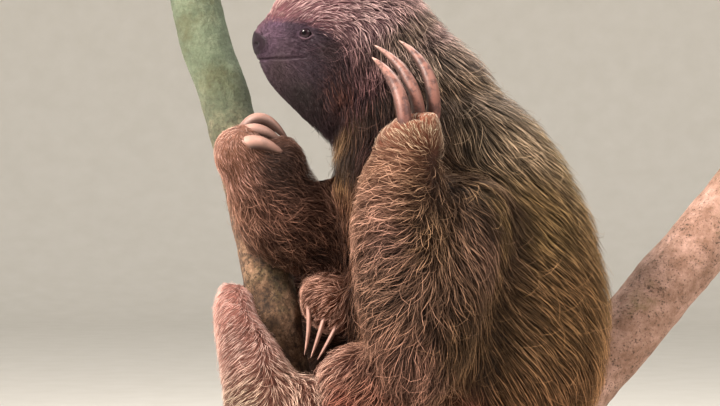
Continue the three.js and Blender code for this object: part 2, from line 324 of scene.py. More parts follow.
def refine(work, wanted):
    """Quarters the faces whose middle is wanted."""
    edges = {e for f in work.faces if wanted(f.calc_center_median() / MM) for e in f.edges}
    bmesh.ops.subdivide_edges(work, edges=list(edges), cuts=1, use_grid_fill=True)


def in_face(p):
    return p.x < -62 and p.z > 395


def in_front(p):
    return p.x < -74 and p.z > 412


def near_toes(p):
    return np.sqrt(((TOE_PLACES - np.array(p)) ** 2).sum(1)).min()


def in_paw(p):
    return near_toes(p) < 20


def in_knuckles(p):
    return near_toes(p) < 13


def in_features(p):
    on_mouth = abs(p.z - MOUTH_Z) < 3.5 and p.x < MOUTH_BACK + 2
    on_nose = p.x < -111 and p.z > 442
    return near_eye(p) < EYE_R + 4.5 or on_mouth or on_nose


hide = new_object("hide", places, quads)
work = bmesh.new()
work.from_mesh(hide.data)
for wanted in (in_face, in_front, in_features, in_paw, in_knuckles):
    refine(work, wanted)
bmesh.ops.triangulate(work, faces=work.faces)
work.to_mesh(hide.data)
work.free()
places = np.array([v.co for v in hide.data.vertices]) / MM
faces = np.array([list(p.vertices) for p in hide.data.polygons])
net = Net(faces, len(places))

face_share = smoothstep(places[:, 0], -62, -70) * smoothstep(places[:, 2], 392, 402)
for _ in range(24):
    places += face_share[:, None] * (net.relaxed(places, 1, 0.6) - places)


# Lids: the skin over each eyeball, opened in an almond that is flatter below, with a soft margin
# that stands a little proud of the ball and a crease above and below.
LID = 0.8  # how thick the lids are
LID_SPREAD = (6, 2.5)  # how far from the ball the lids' shape starts, and where it is full
OPENING_DEPTH = 1.4  # how far the skin sinks behind the ball's front inside the opening
OPENING = {"front": -4.4, "back": 4.6, "top": 2.9, "bottom": -2.8, "corner": -0.9}


def lid_gap(across, up):
    """How far inside the eye's opening a place is, in millimetres, negative on the lids."""
    span = np.where(across < 0, -OPENING["front"], OPENING["back"])
    reach = np.clip(np.abs(across) / span, 0, 1.6)
    rise = np.clip(1 - reach**2, -1.2, 1)
    top = OPENING["corner"] + (OPENING["top"] - OPENING["corner"]) * rise
    fall = np.clip(1 - reach**1.5, -1.2, 1)
    bottom = OPENING["corner"] + (OPENING["bottom"] - OPENING["corner"]) * fall
    return np.minimum(top - up, up - bottom)


lid_edge = np.full(len(places), 99.0)
lid_rim = np.zeros(len(places))  # the pale margin of the lower lid
for middle, side in zip(EYE, (-1, 1)):
    middle = np.array(middle)
    out = places - middle
    reach = np.linalg.norm(out, axis=1)
    facing = smoothstep(side * out[:, 1] / np.maximum(reach, 1e-6), 0.05, 0.35)
    gap = lid_gap(out[:, 0], out[:, 2])
    near = facing * smoothstep(reach, EYE_R + LID_SPREAD[0], EYE_R + LID_SPREAD[1])
    open_share = smoothstep(gap, -0.35, 0.3)
    crease = -0.45 * np.exp(-(((gap + 2.3) / 0.55) ** 2))
    on_lid = np.maximum(reach, EYE_R + LID) * smoothstep(-gap, 0.5, 6.5)
    on_lid += (EYE_R + LID) * (1 - smoothstep(-gap, 0.5, 6.5)) + crease
    wanted = on_lid * (1 - open_share) + (EYE_R - OPENING_DEPTH) * open_share
    places = places + (near * (wanted - reach) / np.maximum(reach, 1e-6))[:, None] * out
    lid_edge = np.where(near > 0.5, -gap, lid_edge)
    lower = smoothstep(out[:, 2] - 0.35 * out[:, 0], 0.6, -1.2)
    lid_rim = np.where(near > 0.5, np.exp(-(((-gap - 0.9) / 0.75) ** 2)) * lower, lid_rim)

# Nose and mouth: the nostrils are pressed in, the pad has a shallow furrow round it, and the lips
# roll in to a groove that fades at the corner of the mouth.
NOSTRIL = ((-118.3, 1.9), (6.6, 2.6), (450.0, 1.25))  # along each axis, its middle and half-width
PAD_BACK = -110.5

normals = corner_normals(places, faces)
x, y, z = places[:, 0], np.abs(places[:, 1]), places[:, 2]
off = [((at - middle) / half) ** 2 for at, (middle, half) in zip((x, y, z), NOSTRIL)]
nostril = np.exp(-(off[0] + off[1] + off[2]))
pad_line = PAD_BACK - 0.13 * (z - 450) ** 2 - 0.1 * y
pad = smoothstep(pad_line - x, -0.8, 0.8) * smoothstep(z, 443, 445) * smoothstep(z, 461.5, 459)
furrow = np.exp(-(((x - pad_line) / 0.7) ** 2)) * smoothstep(z, 441, 444) * smoothstep(z, 463, 459)
mouth_share = smoothstep(x, MOUTH_BACK, MOUTH_BACK - 7)
mouth_rise = 0.035 * np.maximum(0, x + 100)
over = z - MOUTH_Z - mouth_rise
groove = np.exp(-((over / 0.75) ** 2)) * mouth_share
lips = np.exp(-(((np.abs(over) - 1.8) / 1.1) ** 2)) * mouth_share
push = -2.6 * nostril + 0.4 * pad - 0.12 * furrow - 1.15 * groove + 0.25 * lips
push += 0.12 * mottle(places, 3.2) * face_share
places = places + normals * push[:, None]

# Paws: the skin stands up in a collar round each claw and sinks between the toes. Each toe's flesh
# reaches so far past its claw's root.
TOE_ENDS = {"hand_left": (-1.5, 0.5, 1), "hand_right": (9, 9, 9), "foot_left": (9, 9, 9)}
toe_share = np.full(len(places), 99.0)
for paw, toes in TOES.items():
    side, far, past = [], [], []
    for (place, way), end in zip(toes, TOE_ENDS[paw]):
        out = places - np.array(place, float)
        way = unit(np.array(way, float))
        side.append(np.linalg.norm(out - (out @ way)[:, None] * way, axis=1))
        far.append(np.linalg.norm(out, axis=1))
        past.append(out @ way - end)
    side, far, past = np.array(side), np.array(far), np.array(past)
    near = far.min(0)
    toe_share = np.minimum(toe_share, near)
    first, second = np.sort(side, axis=0)[:2]
    ways = unit(np.array([way for _, way in toes], float))[side.argmin(0)]
    over = past[side.argmin(0), np.arange(len(places))]
    over = over + 1.1 * np.maximum(0, -30 - places[:, 0]) + 2.2 * np.maximum(0, places[:, 0] + 3)
    back = np.maximum(0, over) * 0.85 * smoothstep(first, 26, 20) * smoothstep(near, 30, 24)
    back = back * (paw == "hand_left")
    places = places - back[:, None] * ways
    collar = np.exp(-(((first - 4.4) / 2.2) ** 2)) * smoothstep(near, 14, 6) * (paw != "hand_left")
    cleft = np.exp(-(((second - first) / 2.2) ** 2)) * smoothstep(near, 22, 9)
    places = places + (3.0 * collar)[:, None] * ways - normals * (1.8 * cleft)[:, None]

# The heel of the closed hand swells up under the tips of its claws, and a deep fold parts the left
# shin from the thigh.
HEEL = (-100, -17, 376)
places = places + normals * (6 * nearness(places, HEEL, 13))[:, None]
FOLD = np.array([(-83, -92, 254), (-75, -96, 228), (-60, -98, 196)], float)


def from_fold(at):
    """How far places are from the fold's line, seen from the side."""
    seen = at[:, [0, 2]]
    apart = []
    for start, end in zip(FOLD[:-1, [0, 2]], FOLD[1:, [0, 2]]):
        share = ((seen - start) @ (end - start)) / ((end - start) ** 2).sum()
        apart.append(np.linalg.norm(seen - start - np.clip(share, 0, 1)[:, None] * (end - start), axis=1))
    return np.where(at[:, 1] < -55, np.min(apart, axis=0), 99)


fold = np.exp(-((from_fold(places) / 4.2) ** 2))
places = places - normals * (7 * fold)[:, None]

# Which hairs a place belongs with: a limb's lie and colour don't run on into what it only touches.
GROUP_OF = {
    "nose": "head", "muzzle": "head", "lower_jaw": "head", "head": "head", "ear": "head",
    "neck": "neck", "torso": "trunk", "tail": "trunk",
    "upper_arm": "arm", "forearm": "arm", "hand": "arm",
    "thigh": "leg", "shin": "leg", "foot": "leg",
}


def group_of(part):
    side = part[len(kind_of(part)):]
    group = GROUP_OF[kind_of(part)]
    return group + side if group in ("arm", "leg") else group


def groups_of(parts):
    return np.array([group_of(p) for p in parts])


hide.data.vertices.foreach_set("co", (places * MM).ravel())
hide.data.update()
normals = corner_normals(places, faces)
parts = parts_at(places)
coat = net.relaxed(coat_at(places, parts), 6)
coat = np.where(np.isin(groups_of(parts), ["head"])[:, None], coat, net.relaxed(coat, 60))
toe_bare = smoothstep(toe_share, 15, 5)  # the hair thins out and shortens towards the claws
coat[:, 1] *= 1 - np.where(parts == "hand_left", 0.1, 0.5) * toe_bare
coat[:, 3] *= 1 + 2.0 * smoothstep(toe_share, 8, 4) * (parts == "hand_left")
wrist_bare = smoothstep(toe_share, 40, 12) * (groups_of(parts) == "arm_left")
coat[:, 0] *= 1 - 0.6 * wrist_bare
coat[:, 1] *= 1 - 0.15 * wrist_bare
under_claws = nearness(places, (-111, -20, 380), 13)
palm_share = np.maximum(nearness(places, PALM, 16), under_claws)
coat[:, 0] *= 1 - 0.7 * palm_share
coat[:, 1] *= 1 - 0.6 * palm_share
coat[:, 1] *= 1 - 0.35 * fold
coat[:, 1] *= 1 + 0.5 * (parts == "hand_right")
coat[:, :2] *= 1 - 0.3 * under_claws[:, None]
knee = nearness(places, (-92, 58, 292), 20)  # the coat is shaggier where the knee meets the wood
coat[:, :2] *= 1 + 0.6 * knee[:, None]

groups = groups_of(parts)
MIRRORED = ("head", "neck", "trunk", "mask")  # these groups' rows are given for y above 0 and hold for both


def rows_of(table, group):
    """A table's rows for a group, with those of the mirrored groups given on both sides."""
    rows = list(table[group])
    if group in MIRRORED:
        rows += [((x, -y, z), *rest) for (x, y, z), *rest in table[group] if y]
    return rows


def spread(table, group, at, values):
    """Values given at a group's rows, blended over places: near rows count for most."""
    rows = rows_of(table, group)
    anchors = np.array([r[0] for r in rows], float)
    apart = ((at[:, None] - anchors[None]) ** 2).sum(2)
    share = 1 / (apart + 36) ** 2
    share /= share.sum(1, keepdims=True)
    return np.einsum("pr,r...->p...", share, values(rows))


# The lie of the coat: the way the hairs point at places all over the body.
LIE = {
    "head": [
        ((-119, 0, 463), (0.8, 0, 0.6)), ((-110, 0, 472), (0.35, 0, 1)), ((-98, 0, 482), (0.8, 0, 0.7)),
        ((-75, 0, 492), (1, 0, 0.25)), ((-45, 0, 495), (1, 0, -0.05)), ((-15, 0, 485), (0.8, 0, -0.5)),
        ((-110, 16, 455), (1, 0, 0.3)), ((-112, 12, 442), (1, 0, -0.15)),
        ((-95, 24, 462), (0.9, 0, 0.55)), ((-86, 26, 466), (0.9, 0, 0.45)),
        ((-72, 30, 470), (1, 0, -0.1)), ((-60, 36, 466), (0.8, 0, -0.65)),
        ((-48, 42, 455), (0.5, 0, -0.9)), ((-60, 42, 440), (0.55, 0, -0.85)),
        ((-76, 34, 452), (1, 0, -0.25)), ((-88, 28, 446), (1, 0, -0.2)), ((-80, 34, 432), (0.9, 0, -0.4)),
        ((-102, 16, 432), (0.7, 0, -0.6)), ((-90, 14, 412), (0.6, 0, -0.7)),
        ((-66, 36, 412), (0.55, 0, -0.85)), ((-45, 45, 425), (0.25, 0, -1)),
        ((-70, 0, 385), (0.7, 0, -0.7)), ((-22, 44, 450), (0.25, 0, -1)),
    ],
    "neck": [
        ((-5, 0, 465), (0.75, 0, -0.65)), ((-10, 45, 440), (0.2, 0, -1)), ((-25, 55, 405), (0.1, 0, -1)),
        ((-62, 20, 395), (0.2, 0, -1)), ((-60, 0, 370), (0.1, 0, -1)), ((-20, 60, 380), (0.1, 0, -1)),
        ((30, 50, 400), (0.5, 0, -0.85)),
    ],
    "trunk": [
        ((10, 0, 445), (0.8, 0, -0.65)), ((30, 40, 420), (0.45, 0, -0.9)),
        ((65, 0, 400), (0.7, 0, -0.75)), ((18, 60, 390), (0.1, 0, -1)), ((45, 60, 385), (0.6, 0, -0.8)),
        ((88, 0, 345), (0.45, 0, -0.9)), ((60, 75, 340), (0.7, 0, -0.75)), ((102, 0, 280), (0.15, 0, -1)),
        ((75, 75, 280), (0.7, 0.1, -0.75)), ((40, 90, 290), (0.75, 0, -0.7)),
        ((102, 0, 220), (-0.05, 0, -1)), ((75, 70, 215), (0.45, 0, -0.9)),
        ((40, 88, 220), (0.5, 0, -0.85)), ((85, 0, 160), (-0.35, 0, -0.95)),
        ((50, 60, 150), (0.1, 0, -1)), ((20, 60, 140), (0, 0, -1)), ((20, 0, 100), (-0.3, 0.1, -0.9)),
        ((-45, 40, 330), (-0.2, 0, -1)), ((-50, 0, 350), (0, 0, -1)), ((-50, 0, 260), (0, 0.1, -1)),
        ((-40, 0, 180), (-0.1, 0.1, -1)), ((-10, 80, 330), (0.2, 0, -1)), ((-10, 80, 220), (-0.1, 0, -1)),
        ((82, 0, 118), (0.6, 0, -0.8)),
    ],
    "arm_left": [
        ((-26, -104, 405), (-0.2, 0, 1)), ((-8, -100, 402), (0.1, 0, 1)),
        ((-14, -110, 392), (-0.25, 0, 0.95)), ((-28, -106, 388), (-0.7, 0, 0.6)),
        ((-2, -108, 388), (0.5, 0, 0.8)), ((2, -108, 374), (0.6, 0, -0.7)),
        ((-8, -114, 376), (-0.8, 0, -0.1)), ((-12, -116, 364), (-0.8, 0, -0.5)),
        ((-30, -112, 372), (-1, 0, 0.1)), ((-45, -95, 360), (-1, 0.3, -0.2)),
        ((-22, -120, 345), (-1, 0, -0.12)), ((-42, -110, 335), (-1, 0, -0.25)),
        ((-18, -122, 318), (-0.9, 0, -0.45)), ((-42, -112, 300), (-0.85, 0, -0.6)),
        ((-18, -122, 290), (-0.65, 0, -0.8)), ((-38, -110, 265), (-0.6, 0, -0.85)),
        ((-12, -118, 255), (-0.2, 0, -1)), ((0, -115, 350), (0.3, 0, -0.95)),
        ((6, -112, 330), (0.45, 0, -0.9)), ((22, -98, 345), (0.45, 0, -0.9)),
        ((12, -104, 300), (0.4, 0, -0.95)), ((24, -85, 310), (0.55, 0, -0.85)),
        ((8, -108, 260), (0.2, 0, -1)), ((-5, -110, 220), (0.05, 0, -1)),
        ((-25, -60, 350), (-0.3, 0.6, -0.6)), ((-25, -62, 290), (-0.3, 0.5, -0.8)),
        ((-20, -70, 395), (-0.1, 0.5, 0.8)), ((30, -60, 370), (0.45, 0, -0.9)),
    ],
    "arm_right": [
        ((-138, -25, 392), (-0.35, 0, -0.95)), ((-148, -15, 375), (-0.1, 0, -1)),
        ((-142, -35, 360), (0.1, 0, -1)), ((-130, -38, 368), (0.35, 0, -0.95)),
        ((-118, -40, 366), (0.8, 0, -0.6)), ((-104, -36, 368), (0.9, 0, -0.45)),
        ((-120, -42, 355), (0.85, 0, -0.5)), ((-105, -42, 350), (0.92, 0, -0.4)),
        ((-120, -44, 338), (0.75, 0, -0.65)), ((-130, -30, 325), (0.25, 0, -0.95)),
        ((-100, -38, 318), (0.85, 0, -0.5)), ((-85, -28, 335), (0.92, 0, -0.4)),
        ((-70, -15, 315), (0.9, 0, -0.45)), ((-60, -5, 295), (0.9, 0, -0.3)),
        ((-115, -20, 305), (0.35, 0, -0.95)), ((-85, -5, 295), (0.7, 0, -0.5)),
        ((-95, -10, 372), (0.75, 0, -0.65)), ((-120, 15, 350), (0.1, 0.3, -0.9)),
        ((-80, 25, 320), (0.5, 0.2, -0.8)), ((-20, 70, 330), (0.2, 0, -1)),
        ((-45, 60, 290), (0, 0.2, -1)), ((15, 75, 360), (0.4, 0, -0.9)),
    ],
    "leg_left": [
        ((-134, -35, 296), (-0.3, 0, -0.95)), ((-128, -55, 283), (-0.45, 0, -0.9)),
        ((-142, -45, 270), (-0.8, 0, -0.6)), ((-130, -70, 265), (-0.6, 0, -0.8)),
        ((-120, -62, 262), (-0.4, 0, -0.9)), ((-138, -70, 245), (-0.95, 0, -0.3)),
        ((-122, -85, 245), (-0.8, 0, -0.6)), ((-135, -85, 220), (-0.95, 0, -0.35)),
        ((-116, -95, 225), (-0.9, 0, -0.4)), ((-130, -90, 195), (-0.7, 0, -0.75)),
        ((-108, -100, 200), (-0.85, 0, -0.5)), ((-96, -88, 228), (0.3, 0, -0.95)),
        ((-103, -80, 244), (0.2, 0, -0.95)), ((-85, -100, 205), (-0.4, 0, -0.9)),
        ((-75, -102, 190), (-0.6, 0, -0.8)), ((-105, -98, 172), (-0.5, 0, -0.9)),
        ((-60, -108, 225), (-0.7, 0, -0.7)), ((-40, -110, 235), (-0.65, 0, -0.75)),
        ((-45, -112, 200), (-0.65, 0, -0.75)), ((-15, -105, 220), (-0.35, 0, -0.95)),
        ((0, -100, 190), (-0.1, 0, -1)), ((35, -85, 180), (0.1, 0, -1)),
        ((-60, -25, 299), (-0.9, -0.1, 0.3)), ((-74, -28, 297), (-0.98, -0.1, 0)),
        ((-62, -30, 290), (-0.9, -0.1, -0.25)), ((-58, -28, 278), (-0.8, -0.1, -0.6)),
        ((-75, -32, 284), (-0.85, -0.1, -0.45)), ((-72, -32, 274), (-0.7, -0.1, -0.7)),
        ((-88, -28, 286), (-0.6, -0.1, -0.8)), ((-55, 5, 285), (-0.3, -0.9, 0)),
        ((-72, 30, 290), (0.3, -0.9, 0)), ((-110, 45, 285), (0.9, 0.2, 0)),
        ((-128, 10, 292), (0.1, 1, 0)),
    ],
    "leg_right": [
        ((-95, 50, 292), (-0.5, 0, 1)), ((-84, 90, 240), (-0.2, 0, -1)),
        ((-30, 95, 175), (-0.3, 0, -0.95)), ((10, 90, 180), (0, 0, -1)), ((40, 75, 170), (0.1, 0, -1)),
        ((-45, 85, 140), (-0.4, -0.2, -0.8)), ((-55, 60, 130), (-0.8, -0.5, 0)),
        ((-65, 40, 150), (-0.8, -0.4, 0.1)), ((-85, 40, 160), (-0.5, -0.8, 0.1)),
        ((-30, 50, 180), (-0.2, -0.3, -0.9)),
    ],
}

flow = np.zeros_like(places)
for group in LIE:
    here = groups == group
    flow[here] = spread(LIE, group, places[here], lambda rows: np.array([r[1] for r in rows], float))


def tangent_to(normals, vectors):
    return unit(vectors - normals * (vectors * normals).sum(1, keepdims=True))


flow = tangent_to(normals, flow)
for _ in range(3):
    flow = tangent_to(normals, net.relaxed(flow, 3))


# Colours, as sRGB: for each place the deep colour of the undercoat and the pale one of the tips. Some rows
# hold painted light and shade, as marked at them.
def linear(colour):
    """An sRGB hex colour as linear red, green and blue."""
    parts = [int(colour[i : i + 2], 16) / 255 for i in (0, 2, 4)]
    return [c / 12.92 if c <= 0.04045 else ((c + 0.055) / 1.055) ** 2.4 for c in parts]


MARKINGS = {
    "head": [
        ((-104, 0, 478), "8e575f", "ffdad3"), ((-72, 0, 492), "9b646d", "ffd7d1"),
        ((-80, 22, 474), "805059", "ffdad9"), ((-48, 42, 464), "65414b", "ffdcd8"),
        ((-25, 20, 485), "513e42", "f3c7c0"), ((-52, 46, 440), "4a343a", "cc9a9b"),
        # The cheek row at (-48, 44, 415) is dark partly from the fur's own colour and partly as painted shade
        # under the jaw.
        ((-48, 44, 415), "32242b", "8e6161"), ((-22, 44, 445), "3f3330", "d5b8aa"),
        ((-60, 0, 395), "382a28", "7a5e56"),
    ],
    "neck": [
        # The rows below the jaw, between the head and the arm, are dark partly from the fur's own colour and
        # partly as painted shade from the head and the arm.
        ((-34, 56, 398), "241816", "7a584b"), ((-40, 50, 408), "22161c", "4d3435"),
        ((-36, 52, 388), "221619", "482c26"), ((0, 0, 460), "433733", "eecfbb"),
        ((-10, 45, 435), "372e29", "dcc2ab"), ((-25, 58, 405), "261c18", "726158"),
        ((-50, 40, 415), "21151b", "6c474f"), ((-52, 45, 390), "211516", "603e37"),
        ((-70, 8, 366), "7a5b39", "cba06c"), ((30, 50, 395), "392f24", "e8cfb4"),
    ],
    "trunk": [
        ((15, 0, 440), "423528", "fddcbb"), ((45, 45, 405), "3c2f22", "fbdcb8"),
        ((70, 0, 385), "392f1d", "e3c293"), ((55, 70, 350), "322717", "c7a26e"),
        ((92, 0, 320), "352818", "cda371"), ((75, 70, 290), "322312", "cb9c6c"),
        ((102, 0, 250), "3c2613", "cf9c6c"), ((75, 70, 220), "2e1d0e", "cf9a6e"),
        ((90, 0, 200), "563015", "ffb375"), ((95, 0, 160), "583118", "ffb87b"),
        ((50, 60, 140), "58311c", "ffb885"), ((20, 85, 290), "352516", "c79c75"),
        ((-38, 52, 395), "241816", "7d5a4e"), ((-42, 48, 375), "261914", "7c5641"),
        ((-68, 12, 376), "6a5236", "c9a67c"), ((-64, 10, 358), "5c3a2a", "bb8868"),
        ((-62, 0, 352), "5f3b29", "dea183"), ((-58, 0, 326), "341e15", "784f3b"),
        ((-50, 0, 260), "291913", "644739"), ((-20, 60, 200), "513121", "de9772"),
        ((20, 0, 100), "513121", "de9772"),
    ],
    "arm_left": [
        ((-5, -112, 374), "301b10", "956a4a"), ((-20, -92, 405), "c9775a", "fff5dd"),
        ((-14, -110, 390), "763f2a", "fff1cc"), ((-25, -112, 370), "71442f", "ffcaaa"),
        ((-32, -114, 345), "563323", "ffc8ae"), ((-25, -118, 330), "28160f", "deaa9b"),
        ((-25, -120, 305), "24160c", "cda087"), ((-20, -116, 255), "301b12", "cf9c86"),
        ((-10, -118, 356), "2d1f14", "907753"), ((-12, -120, 334), "352412", "c3a065"),
        ((4, -112, 350), "23150d", "a37e62"), ((20, -98, 331), "120707", "b88f79"),
        # The near-black rows round (13, -100, 361) and (24, -90, 350) are dark partly from the upper arm's
        # own fur and partly as painted shade in the pocket between the forearm and the shoulder.
        ((13, -100, 361), "1c120c", "563c2f"), ((10, -104, 270), "160a04", "8f6e4f"),
        ((28, -80, 285), "160a04", "8f6e4f"), ((24, -90, 350), "150c05", "826852"),
        ((-40, -70, 320), "3c241a", "a27663"),
    ],
    "arm_right": [
        ((-136, -25, 392), "b9826d", "ffd7c7"), ((-132, -36, 372), "90624c", "fec7b7"),
        ((-140, -30, 345), "78503c", "e3b097"), ((-114, -42, 348), "54352a", "c08c75"),
        # Painted shade: the row at (-72, -15, 310), under the forearm above the foot, and partly the one at
        # (-106, -34, 366), below the closed hand.
        ((-95, -35, 325), "422920", "956b58"), ((-72, -15, 310), "33201a", "715041"),
        ((-115, -20, 310), "452c21", "936d58"), ((-106, -34, 366), "3a2822", "6c5044"),
        ((-30, 60, 320), "402c1d", "a08067"),
    ],
    "leg_left": [
        ((-130, -45, 288), "d09082", "ffd7cb"), ((-125, -75, 260), "9b6457", "ffd9cc"),
        ((-120, -95, 225), "714136", "ffe8cd"), ((-105, -102, 190), "63362d", "ffdcc5"),
        ((-98, -84, 236), "804d3f", "ffd8c2"), ((-65, -105, 215), "542517", "bf6d58"),
        ((-20, -105, 215), "4a2519", "b06c57"), ((-72, -28, 288), "6c3d2a", "ffcab3"),
        ((-110, 30, 285), "633e2f", "d5a28d"),
    ],
    "leg_right": [
        ((-84, 50, 275), "4a3026", "906a56"), ((-75, 95, 220), "6b4638", "b88c78"),
        ((-20, 90, 205), "57402c", "9c7a60"), ((30, 80, 175), "4f3c28", "94785c"),
        ((-80, 42, 155), "6b4535", "bc8e7b"), ((-60, 95, 150), "6b4638", "b88c78"),
    ],
    "mask": [  # the dark face
        # The rows on the top and side of the snout, z 455 to 465, are paler than the mask below them, partly
        # as a painted highlight where the light falls.
        ((-56, 42, 406), "251720", "7e5854"), ((-115, 0, 464), "614650", "9d7782"),
        ((-104, 12, 465), "563f54", "8d7288"), ((-112, 14, 455), "513e4d", "886f80"),
        ((-113, 13, 445), "392b37", "5e4857"), ((-104, 16, 434), "3a2e32", "5d4c51"),
        ((-96, 24, 446), "3f303a", "624d5a"), ((-94, 25, 459), "3b2c39", "604b5b"),
        ((-86, 26, 464), "3a2b37", "614d5c"), ((-78, 30, 456), "332831", "584350"),
        ((-72, 34, 444), "36292c", "5f484b"), ((-84, 30, 436), "332830", "564349"),
        ((-90, 20, 415), "292223", "463a3c"), ((-66, 36, 420), "2a1e24", "84584c"),
        ((-76, 12, 398), "2d2124", "4c3c40"), ((-62, 20, 380), "332923", "59483b"),
    ],
}
PAD = "1f151c"
LID_RIM = "74595f"

deep, pale = np.zeros_like(places), np.zeros_like(places)
mask_deep, mask_pale = np.zeros_like(places), np.zeros_like(places)


def colours_of(column):
    return lambda rows: np.array([linear(row[column]) for row in rows])


for group in LIE:
    here = groups == group
    for tone, column in ((deep, 1), (pale, 2)):
        tone[here] = spread(MARKINGS, group, places[here], colours_of(column))
on_head = np.isin(groups, ["head", "neck"])
for tone, column in ((mask_deep, 1), (mask_pale, 2)):
    tone[on_head] = spread(MARKINGS, "mask", places[on_head], colours_of(column))
deep, pale = net.relaxed(deep, 4), net.relaxed(pale, 4)
# Painted shade: the hair's deep and pale colours are darkened in the fold between the left shin and thigh and
# under the closed hand's claws.
for tone in (deep, pale):
    tone *= 1 - 0.6 * np.maximum(fold, under_claws)[:, None]

# The hide's colours: those of the deep hair, the dark face, the pad of the nose and the lids, with painted
# shade under the long hair and in the nostrils.
within_mask = inside_mask(places)
within_mask = np.where(on_head & (places[:, 2] > 372), within_mask, -99)
ragged = 1.6 * mottle(places, 2.4)
soft_pad = smoothstep(pad_line - places[:, 0] + ragged, -2.6, 2.4)
soft_pad *= groups == "head"
nose = soft_pad[:, None]
masked = smoothstep(within_mask, -3.5, 3.5)[:, None]
# Painted shade: the hide is darkened where long hair covers it, and less on the short-haired dark face.
under = 0.45 + 0.5 * masked  # the hide is darker under long hair
hide_tone = (deep * (1 - masked) + mask_deep * 1.05 * masked) * under
hide_tone += nose * (np.array(linear(PAD)) - hide_tone)
# Painted shade: the insides of the nostrils are darkened.
hide_tone *= 1 - 0.9 * nostril[:, None]
hide_tone += 0.35 * lid_rim[:, None] * (np.array(linear(LID_RIM)) - hide_tone)


def add(tree, kind, inputs=None, stops=None, **settings):
    """Adds a node with its settings. An input is a value, a hex colour or a node's output to link."""
    made = tree.nodes.new("ShaderNode" + kind)
    for name, value in settings.items():
        setattr(made, name, value)
    for name, value in (inputs or {}).items():
        if isinstance(value, bpy.types.NodeSocket):
            tree.links.new(value, made.inputs[name])
        else:
            made.inputs[name].default_value = (*linear(value), 1) if isinstance(value, str) else value
    if stops:
        while len(made.color_ramp.elements) < len(stops):
            made.color_ramp.elements.new(0.5)
        for element, (at, colour) in zip(made.color_ramp.elements, stops):
            element.position = at
            element.color = (*linear(colour), 1)
    return made


def finish(name):
    """A new material: returns it, its empty node tree and the object's own coordinates in that."""
    made = bpy.data.materials.new(name)
    made.use_nodes = True
    tree = made.node_tree
    tree.nodes.clear()
    return made, tree, add(tree, "TexCoord").outputs["Object"]


def surfaced(made, sockets):
    """Gives a material its shader, with what goes into each of its sockets."""
    tree = made.node_tree
    shader = add(tree, "BsdfPrincipled", sockets)
    add(tree, "OutputMaterial", {"Surface": shader.outputs["BSDF"]})
    return made


def per(size):
    """The noise scale whose features are about this many millimetres apart."""
    return 1 / (size * MM)


def coloured(mesh, name, values):
    """Stores a colour at each corner of a mesh."""
    layer = mesh.color_attributes.new(name, "FLOAT_COLOR", "POINT")
    layer.data.foreach_set("color", np.column_stack([values, np.ones(len(values))]).ravel())


def measured(mesh, name, values):
    """Stores a number at each corner of a mesh."""
    layer = mesh.attributes.new(name, "FLOAT", "POINT")
    layer.data.foreach_set("value", np.asarray(values, np.float32))


def grown_finish(name, layer, blotch, shades, grain, relief, sockets):
    """What grows on the animal: a mesh's own colours, blotched and finely grained.

    The blotches are given as mm apart and detail, and the grain as a texture and its inputs, with
    the output that is its height; the relief is its strength and its depth in millimetres.
    """
    made, tree, at = finish(name)
    tone = add(tree, "Attribute", attribute_name=layer).outputs["Color"]
    blotches = add(tree, "TexNoise", {"Vector": at, "Scale": per(blotch[0]), "Detail": blotch[1]})
    shade = {"Value": blotches.outputs["Fac"], "From Min": 0.3, "From Max": 0.7}
    shade |= {"To Min": shades[0], "To Max": shades[1]}
    shade = add(tree, "MapRange", shade).outputs["Result"]
    base = add(tree, "VectorMath", {0: tone, "Scale": shade}, operation="SCALE")
    texture, inputs, height = grain
    height = add(tree, texture, {"Vector": at, **inputs}).outputs[height]
    bump = add(tree, "Bump", {"Height": height, "Strength": relief[0], "Distance": relief[1] * MM})
    return surfaced(made, {"Base Color": base.outputs[0], "Normal": bump.outputs["Normal"], **sockets})


# Bare and thinly haired skin: dark, matt, finely pebbled leather that carries the coat's markings, with
# painted shade under the long hair and in the nostrils.
leather = grown_finish(
    "leathery hide", "marking", (5, 4), (0.78, 1.25), ("TexVoronoi", {"Scale": per(0.7)}, "Distance"),
    (0.35, 0.2), {"Roughness": 0.62, "Specular IOR Level": 0.2},
)
# The nose pad: hairless, near black, with the low gloss of damp skin.
nose_leather = grown_finish(
    "damp nose leather", "marking", (3, 3), (0.8, 1.3), ("TexVoronoi", {"Scale": per(0.9)}, "Distance"),
    (0.5, 0.25), {"Roughness": 0.5, "Specular IOR Level": 0.12},
)


def unwrapped(target, margin=0.003):
    """Lays a mesh's faces out on the map OFBake."""
    target.data.uv_layers.new(name="OFBake")
    bpy.ops.object.select_all(action="DESELECT")
    target.select_set(True)
    bpy.context.view_layer.objects.active = target
    bpy.ops.object.mode_set(mode="EDIT")
    bpy.ops.mesh.select_all(action="SELECT")
    bpy.ops.uv.smart_project(angle_limit=1.15, island_margin=margin)
    bpy.ops.object.mode_set(mode="OBJECT")


def loop_uvs(mesh):
    """The map OFBake as an array: face, corner, (u, v)."""
    uvs = np.empty(len(mesh.loops) * 2, np.float32)
    mesh.uv_layers["OFBake"].uv.foreach_get("vector", uvs)
    return uvs.reshape(-1, 3, 2)


coloured(hide.data, "marking", hide_tone)
hide.data.materials.append(leather)
hide.data.materials.append(nose_leather)
on_pad = soft_pad[faces].mean(1) > 0.6
hide.data.polygons.foreach_set("material_index", on_pad.astype(np.int32))
unwrapped(hide)
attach(hide, "root")
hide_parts(*FLESH)


# ------------------------------------------------------------------ coat
# Guard hairs stuck together in fine tufts, rooted in the hide. Each tuft is a closed three-sided
# sliver of hair that leaves the skin, lies along the lie of the coat and tapers to a tip. Tufts near
# each other draw together in locks.

